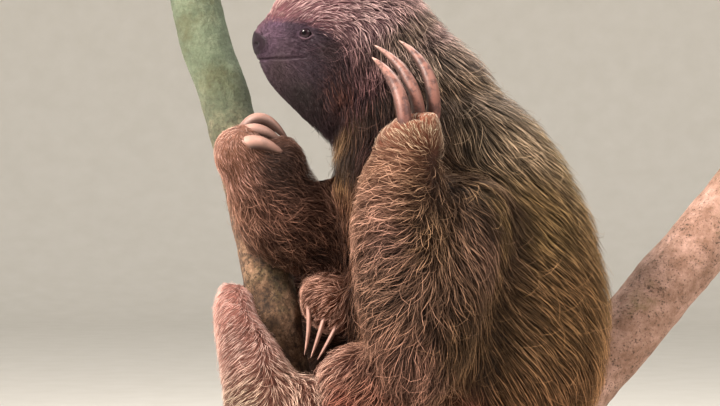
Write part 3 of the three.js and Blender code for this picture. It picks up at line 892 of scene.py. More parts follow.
SEED = 1729
THICKNESS = 0.62  # a tuft's thickness as a share of its width
PATCH = 0.003  # a tuft's size on the bake map
STRAYS = 0.02  # the share of tufts that also have a loose, curling hair beside them
STRAY_WIDTH = 0.62  # such a hair's width as a share of a tuft's
SPREADING = 0.62  # scales the skin that one tuft covers, over the whole body
SPARSER = 0.55  # how much more skin one tuft covers on the animal's right than on its left
LOCK = 5  # tufts to a lock
PULL = 0.34  # how far, at most, a tuft's tip is drawn to its lock's leading tuft
TIP_CLEAR = 0.05  # a tuft whose tip is less far out of the hide than this is left out
SHORT = 11  # hairs shorter than this bend at two places, and longer ones at three
# The glinting tufts' pale colour is partly the hairs' own and partly a painted highlight.
GLINTING = {"leg_left": 0.5, "head": 0.4}  # the share of the outer tufts that are pale, by group
GLINTING_ELSEWHERE = 0.27

hide_tree = BVHTree.FromPolygons(places.tolist(), faces.tolist())
wood_arrays = [arrays(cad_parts[n].data) for n in ("perch_trunk", "perch_branch")]
wood_trees = [BVHTree.FromPolygons(p.tolist(), f.tolist()) for p, f in wood_arrays]


def landed(at):
    """The nearest place on the hide to each place, with its face."""
    found = [hide_tree.find_nearest(p) for p in at.tolist()]
    return np.array([f[0] for f in found]), np.array([f[2] for f in found])


def shares(at, face):
    """The weights of a face's three corners at a place on it."""
    a, b, c = places[faces[face, 0]], places[faces[face, 1]], places[faces[face, 2]]
    whole = np.cross(b - a, c - a)
    size = np.maximum((whole**2).sum(1), 1e-12)
    second = (np.cross(at - a, c - a) * whole).sum(1) / size
    third = (np.cross(b - a, at - a) * whole).sum(1) / size
    return np.clip(np.stack([1 - second - third, second, third], 1), 0, 1)


def carried(values, face, share):
    """Values from the hide's corners at places on its faces."""
    return np.einsum("nc,nc...->n...", share, values[faces[face]])


def scattered(chosen, sparse, rng):
    """Roots spread over the chosen faces as the coat's rows ask, each for so many times the skin."""
    a, b, c = (places[faces[chosen, i]] for i in range(3))
    area = np.linalg.norm(np.cross(b - a, c - a), axis=1) / 2
    right = smoothstep(middle[chosen, 1], 5, 45)
    cover = coat[faces[chosen], 3].mean(1) * SPREADING * sparse * (1 + SPARSER * right)
    total = np.cumsum(area / cover)
    marks = np.arange(int(total[-1])) + rng.random_sample(int(total[-1]))
    face = chosen[np.searchsorted(total, np.minimum(marks, total[-1] * 0.999999))]
    u, v = rng.random_sample((2, len(face)))
    over = u + v > 1
    u[over], v[over] = 1 - u[over], 1 - v[over]
    return face, np.stack([1 - u - v, u, v], 1)


def turned(vectors, axes, angle):
    c, s = np.cos(angle)[:, None], np.sin(angle)[:, None]
    return vectors * c + np.cross(axes, vectors) * s


WOOD_REACH = 30  # places further than this from the wood aren't tested against it


def inside(trees, at):
    """Whether each place is inside one of the closed surfaces, for places near them."""
    result = np.zeros(len(at), bool)
    for tree in trees:
        for i, p in enumerate(at.tolist()):
            near, normal = tree.find_nearest(p, WOOD_REACH)[:2]
            if near is not None and (Vector(p) - near).dot(normal) < 0:
                result[i] = True
    return result


def grown(face, share, steps, layer, stray, rng):
    """The tufts' lines from root to tip, (tuft, step, xyz), and the skin's normal along them."""
    count = len(face)
    row = carried(coat, face, share)
    length = row[:, 1] * (0.66 + 0.5 * rng.random_sample(count)) * (1.25 if stray else 1)
    lift = (0.3 + 0.78 * layer) * (1.2 if stray else 1)
    wave = np.radians(row[:, 4])
    lean, hook = wave * rng.normal(0, 0.5, (2, count))
    curl = rng.choice([-1, 1], count) * rng.uniform(0.15, 0.5, count) if stray else 0
    at = carried(places, face, share)
    normal = unit(carried(normals, face, share))
    line, standing = [at - 0.3 * normal], [normal]
    for k in range(1, steps + 1):
        bend = lean + wave * 1.9 * mottle(at, 12, 0.5 * k) + hook * (k - 1) + curl * k
        way = turned(tangent_to(normal, carried(flow, face, share)), normal, bend)
        at, face = landed(at + way * (length / steps)[:, None])
        share = shares(at, face)
        normal = unit(carried(normals, face, share))
        rise = row[:, 0] * lift * (1 - (1 - k / steps) ** 1.7)
        line.append(at + normal * rise[:, None])
        standing.append(normal)
    return np.stack(line, 1), np.stack(standing, 1)


def gathered(line, root, every, rng):
    """Draws tufts towards the nearest of a few leading tufts, more towards the tips."""
    leaders = rng.permutation(len(line))[:: every]
    tree = KDTree(len(leaders))
    for i, leader in enumerate(leaders):
        tree.insert(root[leader], i)
    tree.balance()
    lead = leaders[[tree.find(p)[1] for p in root.tolist()]]
    along = np.linspace(0, 1, line.shape[1])[None, :, None]
    pull = rng.uniform(0.0, PULL, len(line))[:, None, None] * along**1.2
    return line + pull * (line[lead] - line), lead


def sliver(steps):
    """The faces of one tuft, as corner numbers, and their places on its patch of the bake map."""
    rows, uvs = [], []
    for k in range(steps - 1):
        for i in range(3):
            a, b, c, d = 3 * k + i, 3 * k + (i + 1) % 3, 3 * k + 3 + (i + 1) % 3, 3 * k + 3 + i
            low, high, left, right = k / steps, (k + 1) / steps, i / 3, (i + 1) / 3
            rows += [(a, b, c), (a, c, d)]
            uvs += [((left, low), (right, low), (right, high)), ((left, low), (right, high), (left, high))]
    for i in range(3):
        rows.append((3 * (steps - 1) + i, 3 * (steps - 1) + (i + 1) % 3, 3 * steps))
        uvs.append(((i / 3, 1 - 1 / steps), ((i + 1) / 3, 1 - 1 / steps), ((i + 0.5) / 3, 1)))
    rows.append((0, 2, 1))
    uvs.append(((0, 0), (0.66, 0), (0.33, 0.08)))
    return np.array(rows), np.array(uvs)


def tuft_mesh(line, standing, width, tint, root_uv):
    """The corners, triangles, colours and map of closed tufts, from their lines, widths and tints."""
    count, steps = line.shape[0], line.shape[1] - 1
    along = unit(np.gradient(line, axis=1))
    across = unit(np.cross(along, standing))
    up = np.cross(across, along)
    taper = np.linspace(1.0, 0.0, steps + 1)[:steps] ** 0.45
    taper[0] = 0.85
    radius = (width[:, None] / 2 * taper)[:, :, None]
    rings = [
        line[:, :steps] + radius * (math.cos(a) * across[:, :steps] + THICKNESS * math.sin(a) * up[:, :steps])
        for a in (math.pi / 2, math.pi * 7 / 6, math.pi * 11 / 6)
    ]
    rings = np.stack(rings, 2).reshape(count, steps * 3, 3)
    corners = np.concatenate([rings, line[:, steps:]], 1)
    tints = np.concatenate([np.repeat(tint[:, :steps], 3, 1), tint[:, steps:]], 1)
    each = 3 * steps + 1
    pattern, patch = sliver(steps)
    index = (pattern[None] + each * np.arange(count)[:, None, None]).reshape(-1)
    uvs = (root_uv[:, None, None] + PATCH * (patch[None] - 0.5)).reshape(-1)
    return corners.reshape(-1, 3), index, tints.reshape(-1, 3), uvs


def joined_mesh(name, batches):
    """A mesh object from batches of tufts."""
    corners = np.concatenate([b[0] for b in batches])
    starts = np.cumsum([0] + [len(b[0]) for b in batches])
    index = np.concatenate([b[1] + s for b, s in zip(batches, starts)])
    mesh = bpy.data.meshes.new(name)
    mesh.vertices.add(len(corners))
    mesh.vertices.foreach_set("co", (corners * MM).ravel())
    mesh.loops.add(len(index))
    mesh.loops.foreach_set("vertex_index", index.astype(np.int32))
    mesh.polygons.add(len(index) // 3)
    mesh.polygons.foreach_set("loop_start", np.arange(0, len(index), 3, dtype=np.int32))
    mesh.update(calc_edges=True)
    mesh.shade_smooth()
    coloured(mesh, "hair", np.concatenate([b[2] for b in batches]))
    layer = mesh.uv_layers.new(name="OFBake")
    layer.uv.foreach_set("vector", np.concatenate([b[3] for b in batches]).astype(np.float32))
    return shown(name, mesh)


# Keratin, satin where the hairs lie together, with a fine streak that breaks up its shine.
hair = grown_finish(
    "tufted guard hair", "hair", (9, 3), (0.84, 1.16), ("TexNoise", {"Scale": per(0.35), "Detail": 1}, "Fac"),
    (0.25, 0.08), {"Roughness": 0.5, "Specular IOR Level": 0.15},
)
face_parts = parts[faces[:, 0]]
face_groups = groups[faces[:, 0]]
middle = places[faces].mean(1)
bare = (soft_pad[faces].mean(1) > 0.9) | (lid_edge[faces].mean(1) < 1.3) | (face_parts == "nose")
on_front = middle[:, 0] < -72
in_shin = np.isin(face_parts, ["shin_left", "foot_left"])
REGIONS = {  # per piece of the coat: its faces, and how many times as sparse as its row it grows
    "coat_face": ((face_groups == "head") & on_front, 1.05),
    "coat_head": ((face_groups == "head") & ~on_front, 1),
    "coat_neck": (face_groups == "neck", 1),
    "coat_back": ((face_groups == "trunk") & (middle[:, 0] > 30) & (middle[:, 2] > 255), 1),
    "coat_rump": ((face_groups == "trunk") & (middle[:, 0] > 30) & (middle[:, 2] <= 255), 1),
    "coat_belly": ((face_groups == "trunk") & (middle[:, 0] <= 30), 1.7),
    "coat_arm_left": (face_groups == "arm_left", 1),
    "coat_arm_right": (face_groups == "arm_right", 1.1),
    "coat_shin_left": (in_shin, 1),
    "coat_thigh_left": ((face_groups == "leg_left") & ~in_shin, 1),
    "coat_leg_right": (face_groups == "leg_right", 1.6),
}


def region_uvs(chosen):
    """The chosen faces of the hide laid out on a map of their own."""
    used, index = np.unique(faces[chosen], return_inverse=True)
    patch = new_object("patch", places[used], index.reshape(-1, 3))
    unwrapped(patch)
    found = loop_uvs(patch.data)
    bpy.data.objects.remove(patch)
    return found


def tinted(f, s, layer, lock, stray, steps, rng):
    """A tuft's colours from root to tip: those at the coat's surface are the palest, the deeper ones darker
    partly as painted shade.
    """
    glints = np.array([GLINTING.get(group, GLINTING_ELSEWHERE) for group in face_groups[f]])
    # Glinting tufts are pale, partly their own colour and partly a painted highlight; the deeper a tuft lies
    # in the coat, the darker it is, partly as painted shade.
    glint = (rng.random_sample(len(f)) < glints) * smoothstep(layer, 0.3, 0.7)
    bright = 0.02 + 0.24 * layer + 0.12 * lock + 1.0 * glint + rng.normal(0, 0.06, len(f))
    bright = np.clip(bright + (0.2 if stray else 0), 0, 1.25)
    inside_mask = carried(within_mask, f, s) + rng.normal(0, 2.4, len(f))
    masked = smoothstep(inside_mask, -1.5, 1.5)[:, None]
    dark = carried(deep, f, s) * (1 - masked) + carried(mask_deep, f, s) * masked
    light = carried(pale, f, s) * (1 - masked) + carried(mask_pale, f, s) * masked
    along = np.linspace(0, 1, steps + 1)[None, :, None]
    mix = np.clip(bright[:, None, None] * (0.4 + 0.8 * along), 0, 1.25)
    root_dark = 0.34 + 0.66 * along**0.8
    tone = (dark[:, None] * (1 - mix) + light[:, None] * mix) * root_dark
    damp = carried(soft_pad, f, s)[:, None, None]
    return tone + damp * (np.array(linear(PAD)) - tone)


for order, (name, (region, sparse)) in enumerate(REGIONS.items()):
    rng = np.random.RandomState(SEED + order)
    chosen = np.nonzero(region)[0]
    uv_of = np.zeros((len(faces), 3, 2), np.float32)
    uv_of[chosen] = region_uvs(chosen)
    face, share = scattered(chosen[~bare[chosen]], sparse, rng)
    long_enough = carried(coat, face, share)[:, 1] > SHORT
    stray_one = rng.random_sample(len(face)) < STRAYS
    batches = []
    kinds = ((2, False, ~long_enough), (3, False, long_enough), (5, True, stray_one))
    for steps, stray, picked in kinds:
        f, s = face[picked], share[picked]
        if not len(f):
            continue
        root = carried(places, f, s)
        layer = rng.random_sample(len(f)) if not stray else rng.uniform(0.85, 1, len(f))
        line, standing = grown(f, s, steps, layer, stray, rng)
        lock = rng.random_sample(len(f))
        if not stray:
            line, lead = gathered(line, root, LOCK, rng)
            lock = lock[lead]
        tips = line[:, -1]
        found = [(Vector(p), *hide_tree.find_nearest(p)[:2]) for p in tips.tolist()]
        above = np.array([(tip - near).dot(normal) for tip, near, normal in found])
        keep = (above > TIP_CLEAR) & ~inside(wood_trees, tips)
        tint = tinted(f, s, layer, lock, stray, steps, rng)
        width = carried(coat, f, s)[:, 2] * rng.uniform(0.8, 1.15, len(f)) * (0.75 + 0.35 * layer)
        if stray:
            width = width * STRAY_WIDTH
        root_uv = np.einsum("nc,ncd->nd", s, uv_of[f])
        pick = np.nonzero(keep)[0]
        batches.append(tuft_mesh(line[pick], standing[pick], width[pick], tint[pick], root_uv[pick]))
    piece = joined_mesh(name, batches)
    piece.data.materials.append(hair)
    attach(piece, "root")


# ------------------------------------------------------------------ eyes
# Two small glass balls with near-black brown irises, blown in one piece with the low dome of the
# cornea, set under the lids.

IRIS = 0.62  # the iris's edge, as an angle from the eye's axis in radians
CORNEA = 0.35
EYE_TONES = [
    (0.0, "040304"), (0.24, "080507"), (0.3, "21141a"), (0.5, "2a1a20"), (0.6, "120a0e"), (0.7, "110b0e"),
    (1.0, "150f12"),
]


def eye_finish():
    """Glass over a painted iris: dark brown, darker at the pupil and at the rim."""
    made, tree, at = finish("painted glass eye")
    ring = add(tree, "Attribute", attribute_name="off_axis").outputs["Fac"]
    fleck = add(tree, "TexNoise", {"Vector": at, "Scale": per(0.8), "Detail": 3}).outputs["Fac"]
    wide = add(tree, "Math", {0: fleck, 1: 0.05, 2: ring}, operation="MULTIPLY_ADD").outputs["Value"]
    tone = add(tree, "ValToRGB", {"Fac": wide}, EYE_TONES).outputs["Color"]
    bump = add(tree, "Bump", {"Height": fleck, "Strength": 0.04, "Distance": 0.05 * MM}).outputs["Normal"]
    return surfaced(made, {
        "Base Color": tone, "Normal": bump, "Roughness": 0.14, "IOR": 1.4, "Specular IOR Level": 0.3,
    })


glass = eye_finish()
for name, side, centre in zip(EYES, (-1, 1), EYE):
    axis = unit(np.array([-0.28, side, 0.06]))
    ball = bmesh.new()
    bmesh.ops.create_icosphere(ball, subdivisions=5, radius=1)
    out, index = read_out(ball)
    out = unit(out)
    off_axis = np.arccos(np.clip(out @ axis, -1, 1))
    dome = CORNEA * smoothstep(off_axis, IRIS + 0.12, IRIS - 0.35)
    eye = new_object(name + "_ball", np.array(centre) + out * (EYE_R - 0.25 + dome)[:, None], index)
    measured(eye.data, "off_axis", off_axis)
    eye.data.materials.append(glass)
    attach(eye, "root")
    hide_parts(name)


# ------------------------------------------------------------------ claws
# Three long hooked claws on each paw: keratin sheaths, flesh pink to tan, stained, darker under the
# curve as painted shade, on some paws painted pale as if lit, and paler at the worn tip. Each is a
# tapered loft on an arc, with its root in the toe.

CLAW_ROOT = 10
CLAW_SIDES, CLAW_ROWS = 20, 44
ROOT_SHARE = 0.28  # the root's part of the arc's run
CLAWS = {  # the side the claw is measured across, then per claw: base, bow, tip, half-width, half-depth
    "hand_claw_left": ((0, 1, 0), [
        [(-25, -98, 395), (-26.6, -96, 421.5), (-45, -67, 437), 3.6, 4.5],
        [(-16, -84, 400), (-19, -87, 428.5), (-43.6, -61, 445), 3.3, 4.1],
        [(-7, -76, 401), (-5, -80, 431), (-28.4, -55, 448.5), 3.3, 4.3],
    ]),
    "hand_claw_right": ((0, 1, 0), [
        [(-131, -31, 378), (-120, -40, 394), (-97, -24, 375), 4.2, 5.2],
        [(-129, -18, 389), (-116, -24, 401), (-97, -10, 379), 4.2, 5.0],
        [(-127, -5, 393), (-116, -8, 412), (-97, -5, 385), 4.1, 5.0],
    ]),
    "foot_claw_left": ((1, 0, 0), [
        [(-85, -22, 280), (-83.5, -27, 266), (-87.6, -25, 249.8), 1.6, 2.8],
        [(-75, -23, 273), (-78, -29, 262), (-83.6, -26, 247.9), 1.6, 2.8],
        [(-67.5, -22, 267), (-72, -28, 258), (-79.4, -26, 246.8), 1.6, 2.8],
    ]),
    "foot_claw_right": ((0, 0, 1), [
        [(-84, 36, 166), (-106, 22, 172), (-100, -8, 166), 2.4, 3],
        [(-81, 37, 155), (-103, 21, 160), (-94, -10, 154), 2.4, 3],
        [(-77, 38, 144), (-98, 20, 148), (-87, -11, 141), 2.4, 3],
    ]),
}
# Painted shade and light: how much darker each claw's horn is painted than its curve alone makes
# it, and how far each paw's claws are painted pale as if lit.
SHADED = {
    "hand_claw_left": (0.15, 0.3, 0.35), "hand_claw_right": (0.5, 0.65, 0.8),
    "foot_claw_left": (-0.8, -0.8, -0.8), "foot_claw_right": (-0.4, -0.4, -0.4),
}
PAINTED_LIGHT = {"hand_claw_left": 0.0, "hand_claw_right": 0.42, "foot_claw_left": 0.42, "foot_claw_right": 0.3}


def horn_finish():
    """Worn keratin: satin, streaked lengthwise, blotched red-brown, with painted shade under the curve and
    painted light.
    """
    made, tree, at = finish("worn keratin claw")
    along, paleness, under = (
        add(tree, "Attribute", attribute_name=name).outputs["Fac"] for name in ("along", "paleness", "under")
    )
    stops = [(0.0, "6a4036"), (0.3, "82564a"), (0.65, "8c6054"), (0.88, "aa7d70"), (1.0, "dcb6a8")]
    tone = add(tree, "ValToRGB", {"Fac": along}, stops).outputs["Color"]
    blotch, lines = (
        add(tree, "TexNoise", {"Vector": at, "Scale": per(size), "Detail": detail, "Roughness": 0.7})
        for size, detail in ((6, 6), (0.9, 4))
    )
    stained = {"Value": blotch.outputs["Fac"], "From Min": 0.47, "From Max": 0.58, "To Max": 0.85}
    stained = add(tree, "MapRange", stained).outputs["Result"]
    shaded = {"Value": under, "From Min": -0.35, "From Max": 0.7, "To Max": 0.93}
    shaded = add(tree, "MapRange", shaded).outputs["Result"]
    # Stains, then the painted light, then the painted shade, mixed over the horn's tone.
    for share, colour in ((stained, "44241f"), (paleness, "ecbfae"), (shaded, "35211b")):
        tone = add(tree, "Mix", {"Factor": share, "A": tone, "B": colour}, data_type="RGBA").outputs["Result"]
    lines = lines.outputs["Fac"]
    bump = add(tree, "Bump", {"Height": lines, "Strength": 0.3, "Distance": 0.25 * MM}).outputs["Normal"]
    rough = {"Value": lines, "From Min": 0.3, "From Max": 0.7, "To Min": 0.4, "To Max": 0.6}
    rough = add(tree, "MapRange", rough).outputs["Result"]
    return surfaced(made, {"Base Color": tone, "Normal": bump, "Roughness": rough, "IOR": 1.52})


def tube(rows, sides):
    """The faces of a tube whose corners are given ring after ring."""
    index = []
    for ring in range(0, (rows - 1) * sides, sides):
        for i in range(sides):
            j = (i + 1) % sides
            index.append((ring + i, ring + j, ring + sides + j, ring + sides + i))
    return index


def claw_form(side_axis, base, bow, tip, wide, thick):
    """A claw's corners, faces, and at each corner how far along and how far under the curve it is."""
    base, bow, tip = (np.array(p, float) for p in (base, bow, tip))
    t = np.linspace(-ROOT_SHARE, 1, CLAW_ROWS)
    arc = ((1 - t)[:, None] ** 2) * base + (2 * t * (1 - t))[:, None] * bow + (t**2)[:, None] * tip
    before = t < 0
    arc[before] = base + (t[before] / ROOT_SHARE)[:, None] * CLAW_ROOT * unit(bow - base)
    taper = np.maximum((1 - np.clip(t, 0, 1) ** 2.5) ** 0.8, 0)
    taper[before] = 0.6 + 0.4 * (1 + t[before] / ROOT_SHARE)
    heading = unit(np.gradient(arc, axis=0))
    side = np.array(side_axis, float)
    across = unit(side - heading * (heading @ side)[:, None])
    over = np.cross(heading, across)
    turn = np.linspace(0, 2 * math.pi, CLAW_SIDES, endpoint=False)
    spoke = wide * np.cos(turn)[None, :, None] * across[:, None]
    spoke = spoke + thick * np.sin(turn)[None, :, None] * over[:, None]
    points = (arc[:, None] + taper[:, None, None] * spoke)[:-1].reshape(-1, 3)
    under = (unit(spoke) @ unit((base + tip) / 2 - bow))[:-1].reshape(-1)
    index = tube(CLAW_ROWS - 1, CLAW_SIDES)
    last, row = len(points), (CLAW_ROWS - 2) * CLAW_SIDES
    for i in range(CLAW_SIDES):
        j = (i + 1) % CLAW_SIDES
        index += [(row + i, row + j, last), (j, i, last + 1)]
    points = np.concatenate([points, arc[-1:], arc[:1]])
    along = np.concatenate([np.repeat(np.clip(t[:-1], 0, 1), CLAW_SIDES), [1, 0]])
    return points, index, along, np.concatenate([under, [0, 0]])


horn = horn_finish()
for name, (side_axis, arcs) in CLAWS.items():
    for number, arc in enumerate(arcs, 1):
        points, index, along, under = claw_form(side_axis, *arc)
        claw = new_object(f"{name}_{number}_sheath", points, index)
        measured(claw.data, "along", along)
        # The claw's painted shade and painted light.
        measured(claw.data, "under", under + SHADED[name][number - 1])
        measured(claw.data, "paleness", np.full(len(points), PAINTED_LIGHT[name]))
        claw.data.materials.append(horn)
        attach(claw, "root")
        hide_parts(f"{name}_{number}")


# ------------------------------------------------------------------ perch
# A forked limb cut from a tree: the stem the animal clings to and the branch it sits on, both
# with their bark on and sawn off flat.

WOOD_STEP = 2.0
WOOD_SIDES = 96
ROUNDING = 10  # rounds of smoothing, which take the solids' facets out
SWELLINGS, RIDGES, PITS = (1.1, 19), (0.55, 4.5), (0.55, 2.6)  # the relief's heights and widths
RIDGE_RUN = 13  # how long the ridges are


def slices(node, step):
    """The middle and the outline of an upright solid's level cross-sections, from the frame."""
    p, f = arrays(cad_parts[node].data)
    low, high = p[:, 2].min(), p[:, 2].max()
    rows = []
    for cut in np.linspace(low + 0.05, high - 0.05, int((high - low) / step)):
        crossings = []
        for i in range(3):
            a, b = p[f[:, i]], p[f[:, (i + 1) % 3]]
            da, db = a[:, 2] - cut, b[:, 2] - cut
            cross = (da * db) < 0
            share = (da[cross] / (da[cross] - db[cross]))[:, None]
            crossings.append(a[cross] + share * (b[cross] - a[cross]))
        crossings = np.concatenate(crossings)
        rows.append(((crossings.max(0) + crossings.min(0)) / 2, crossings))
    return rows


def bark_relief(p, seed):
    """How far the bark stands out at a place: swellings, ridges along the grain and pits."""
    swell = noise.noise(p / SWELLINGS[1] + Vector((seed, 0, 0)))
    ridge = noise.noise(Vector((p.x / RIDGES[1], p.y / RIDGES[1], p.z / RIDGE_RUN + seed)))
    pits = noise.noise(p / PITS[1] + Vector((0, seed, 0)))
    return SWELLINGS[0] * swell + RIDGES[0] * ridge - PITS[0] * max(0, pits - 0.1)


def wood(name, node, seed):
    """A length of wood: rings round the solid's own sections, with bark in relief, sawn off flat."""
    rows = slices(node, WOOD_STEP)
    turn = np.linspace(-math.pi, math.pi, WOOD_SIDES, endpoint=False)
    centres = np.array([c for c, _ in rows])
    reach = []
    for centre, outline_points in rows:
        d = outline_points[:, :2] - centre[:2]
        angle, size = np.arctan2(d[:, 1], d[:, 0]), np.hypot(d[:, 0], d[:, 1])
        order = np.argsort(angle)
        reach.append(np.interp(turn, angle[order], size[order], period=2 * math.pi))
    reach = np.array(reach)
    for _ in range(ROUNDING):
        reach = (np.roll(reach, 1, 1) + 2 * reach + np.roll(reach, -1, 1)) / 4
        reach[1:-1] = (reach[:-2] + 2 * reach[1:-1] + reach[2:]) / 4
    points = np.repeat(centres[:, None], WOOD_SIDES, 1)
    way = np.stack([np.cos(turn), np.sin(turn), np.zeros(WOOD_SIDES)], 1)
    points = points + 0.99 * reach[..., None] * way
    relief = np.array([bark_relief(Vector(p), seed) for p in points.reshape(-1, 3).tolist()])
    points = points + way * relief.reshape(points.shape[:2])[..., None]
    count, last = len(rows), len(rows) * WOOD_SIDES
    index, ends = tube(count, WOOD_SIDES), []
    for i in range(WOOD_SIDES):
        j, row = (i + 1) % WOOD_SIDES, (count - 1) * WOOD_SIDES
        ends += [(j, i, last), (row + i, row + j, last + 1)]
    points = np.concatenate([points.reshape(-1, 3), centres[:1], centres[-1:]])
    made = new_object(name, points, index + ends)
    measured(made.data, "from_heart", np.concatenate([np.ones(last), [0, 0]]))
    slots = np.concatenate([np.zeros(len(index)), np.ones(len(ends))])
    made.data.polygons.foreach_set("material_index", slots.astype(np.int32))
    made.data.polygons.foreach_set("use_smooth", slots == 0)
    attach(made, "root")
    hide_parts(node)
    return made


def bark_finish(name, low, high, change, moss, fleck):
    """Bark whose three tones change from low to high between two heights, with moss and flecks on it.

    Moss is its colour, how patchy it is and how thick; flecks are mm apart, how sparse and how dark.
    """
    made, tree, at = finish(name)
    height = add(tree, "SeparateXYZ", {"Vector": at}).outputs["Z"]
    patches, lichen, flecks, clusters = (
        add(tree, "TexNoise", {"Vector": at, "Scale": per(size), "Detail": detail, "Roughness": rough})
        .outputs["Fac"]
        for size, detail, rough in ((17, 12, 0.78), (42, 9, 0.68), (fleck[0], 5, 0.7), (11, 2, 0.5))
    )
    lower, upper = (
        add(tree, "ValToRGB", {"Fac": patches}, list(zip(places_on, tones))).outputs["Color"]
        for places_on, tones in (((0.36, 0.5, 0.64), low), ((0.3, 0.5, 0.7), high))
    )
    dense = add(tree, "Math", {0: clusters, 1: 0.22, 2: flecks}, operation="MULTIPLY_ADD").outputs["Value"]
    start, end = change[0] * MM, change[1] * MM
    rise, fading, green, spots = (
        add(tree, "MapRange", {"Value": v, "From Min": a, "From Max": b, "To Min": c, "To Max": d})
        .outputs["Result"]
        for v, a, b, c, d in (
            (height, start, end, 0.0, 1.0), (height, start, end, 1.0, 0.25),
            (lichen, moss[1], moss[1] + 0.12, 0.0, moss[2]),
            (dense, fleck[1], fleck[1] + 0.07, 0.0, fleck[2]),
        )
    )
    spots = add(tree, "Math", {0: spots, 1: fading}, operation="MULTIPLY").outputs["Value"]
    tone = lower
    for share, over in ((rise, upper), (green, moss[0]), (spots, "33251b")):
        tone = add(tree, "Mix", {"Factor": share, "A": tone, "B": over}, data_type="RGBA").outputs["Result"]
    crust = add(tree, "Bump", {"Height": flecks, "Strength": 1.0, "Distance": 1.5 * MM}).outputs["Normal"]
    rough = {"Height": patches, "Strength": 0.8, "Distance": 3 * MM, "Normal": crust}
    rough = add(tree, "Bump", rough).outputs["Normal"]
    return surfaced(made, {"Base Color": tone, "Normal": rough, "Roughness": 0.86})


def sawn_finish():
    """A sawn end: pale wood with its growth rings and a darker heart."""
    made, tree, at = finish("sawn green wood")
    heart = add(tree, "Attribute", attribute_name="from_heart").outputs["Fac"]
    wobble = add(tree, "TexNoise", {"Vector": at, "Scale": per(12), "Detail": 2}).outputs["Fac"]
    warped = add(tree, "Math", {0: wobble, 1: 0.12, 2: heart}, operation="MULTIPLY_ADD").outputs["Value"]
    waves = add(tree, "Math", {0: warped, 1: 52.0}, operation="MULTIPLY").outputs["Value"]
    rings = add(tree, "Math", {0: waves}, operation="SINE").outputs["Value"]
    depth = add(tree, "MapRange", {"Value": rings, "From Min": -1.0}).outputs["Result"]
    tone = add(tree, "ValToRGB", {"Fac": depth}, [(0.0, "a9825a"), (1.0, "cfae82")]).outputs["Color"]
    bump = add(tree, "Bump", {"Height": wobble, "Strength": 0.4, "Distance": 0.3 * MM}).outputs["Normal"]
    return surfaced(made, {"Base Color": tone, "Normal": bump, "Roughness": 0.75})


sawn = sawn_finish()
STEM_LOW, STEM_HIGH = ("2c2017", "664c37", "b08d70"), ("4b5744", "66725b", "838d74")
LIMB_TONES = ("84604c", "a98472", "cfa797")
WOODS = (  # each length's name, its solid, the seed of its relief, and its bark
    ("perch_stem_bark", "perch_trunk", 3, (
        "mossy grey bark", STEM_LOW, STEM_HIGH, (330, 430), ("4c4a2c", 0.5, 0.6), (2.6, 0.63, 0.8),
    )),
    ("perch_branch_bark", "perch_branch", 9, (
        "smooth tan bark", LIMB_TONES, LIMB_TONES, (900, 1000), ("77683c", 0.58, 0.75), (1.7, 0.665, 0.8),
    )),
)
for name, node, seed, bark in WOODS:
    length = wood(name, node, seed)
    length.data.materials.append(bark_finish(*bark))
    length.data.materials.append(sawn)


# ------------------------------------------------------------------ stand
# A dark stained wooden base with rounded edges, and two short steel rods that stand in it and run up
# into the foot of the perch. Each rod has a turned collar where it enters the wood.

BASE_LOW, BASE_HIGH = (np.array(c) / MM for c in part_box("stand_base"))
BASE_CORNER = 34  # the corners' radius in plan
EDGE = 2.6  # the radius rubbed on to the upper edge
CHAMFER = 1.2  # and the bevel planed on to the lower one
CORNER_STEPS = 12


def base_ring(inset, height):
    """A rounded rectangle inside the base's plan, at a height."""
    middle, half = (BASE_LOW + BASE_HIGH) / 2, (BASE_HIGH - BASE_LOW) / 2 - inset
    radius = BASE_CORNER - inset
    ring = []
    for quarter, (sx, sy) in enumerate(((1, -1), (1, 1), (-1, 1), (-1, -1))):
        for k in range(CORNER_STEPS + 1):
            a = -math.pi / 2 + quarter * math.pi / 2 + k * math.pi / (2 * CORNER_STEPS)
            x = middle[0] + sx * (half[0] - radius) + radius * math.cos(a)
            y = middle[1] + sy * (half[1] - radius) + radius * math.sin(a)
            ring.append((x, y, height))
    return ring


def stacked(name, rings):
    """A closed object from rings of the same count, the first and last filled flat."""
    count = len(rings[0])
    index = tube(len(rings), count)
    index.append(tuple(range(count))[::-1])
    index.append(tuple(range((len(rings) - 1) * count, len(rings) * count)))
    made = new_object(name, [p for ring in rings for p in ring], index)
    made.data.polygons.foreach_set("use_smooth", [len(f) == 4 for f in index])
    return made


def lined_finish(name, stretch, grain, stops, relief, sockets):
    """A material with lines along one axis: mm apart, detail and roughness of them, tones, relief."""
    made, tree, at = finish(name)
    stretched = add(tree, "Mapping", {"Vector": at, "Scale": stretch}).outputs["Vector"]
    size, detail, rough = grain
    lines = {"Vector": stretched, "Scale": per(size), "Detail": detail, "Roughness": rough}
    lines = add(tree, "TexNoise", lines).outputs["Fac"]
    tone = add(tree, "ValToRGB", {"Fac": lines}, stops).outputs["Color"]
    bump = add(tree, "Bump", {"Height": lines, "Strength": relief[0], "Distance": relief[1] * MM})
    return surfaced(made, {"Base Color": tone, "Normal": bump.outputs["Normal"], **sockets})


# Stained beech under a satin varnish, with the grain along the base.
lacquer = lined_finish(
    "dark stained beech", (0.08, 1, 1), (3, 7, 0.6), [(0.3, "1d1613"), (0.55, "33271f"), (0.75, "46362a")],
    (0.15, 0.2), {"Roughness": 0.4, "Coat Weight": 0.25, "Coat Roughness": 0.3},
)
# Round bar, brushed along its length.
steel = lined_finish(
    "brushed stainless steel", (1, 1, 0.03), (0.5, 3, 0.5), [(0.3, "8f8f8c"), (0.7, "b4b3ae")],
    (0.1, 0.1), {"Metallic": 1.0, "Roughness": 0.34},
)

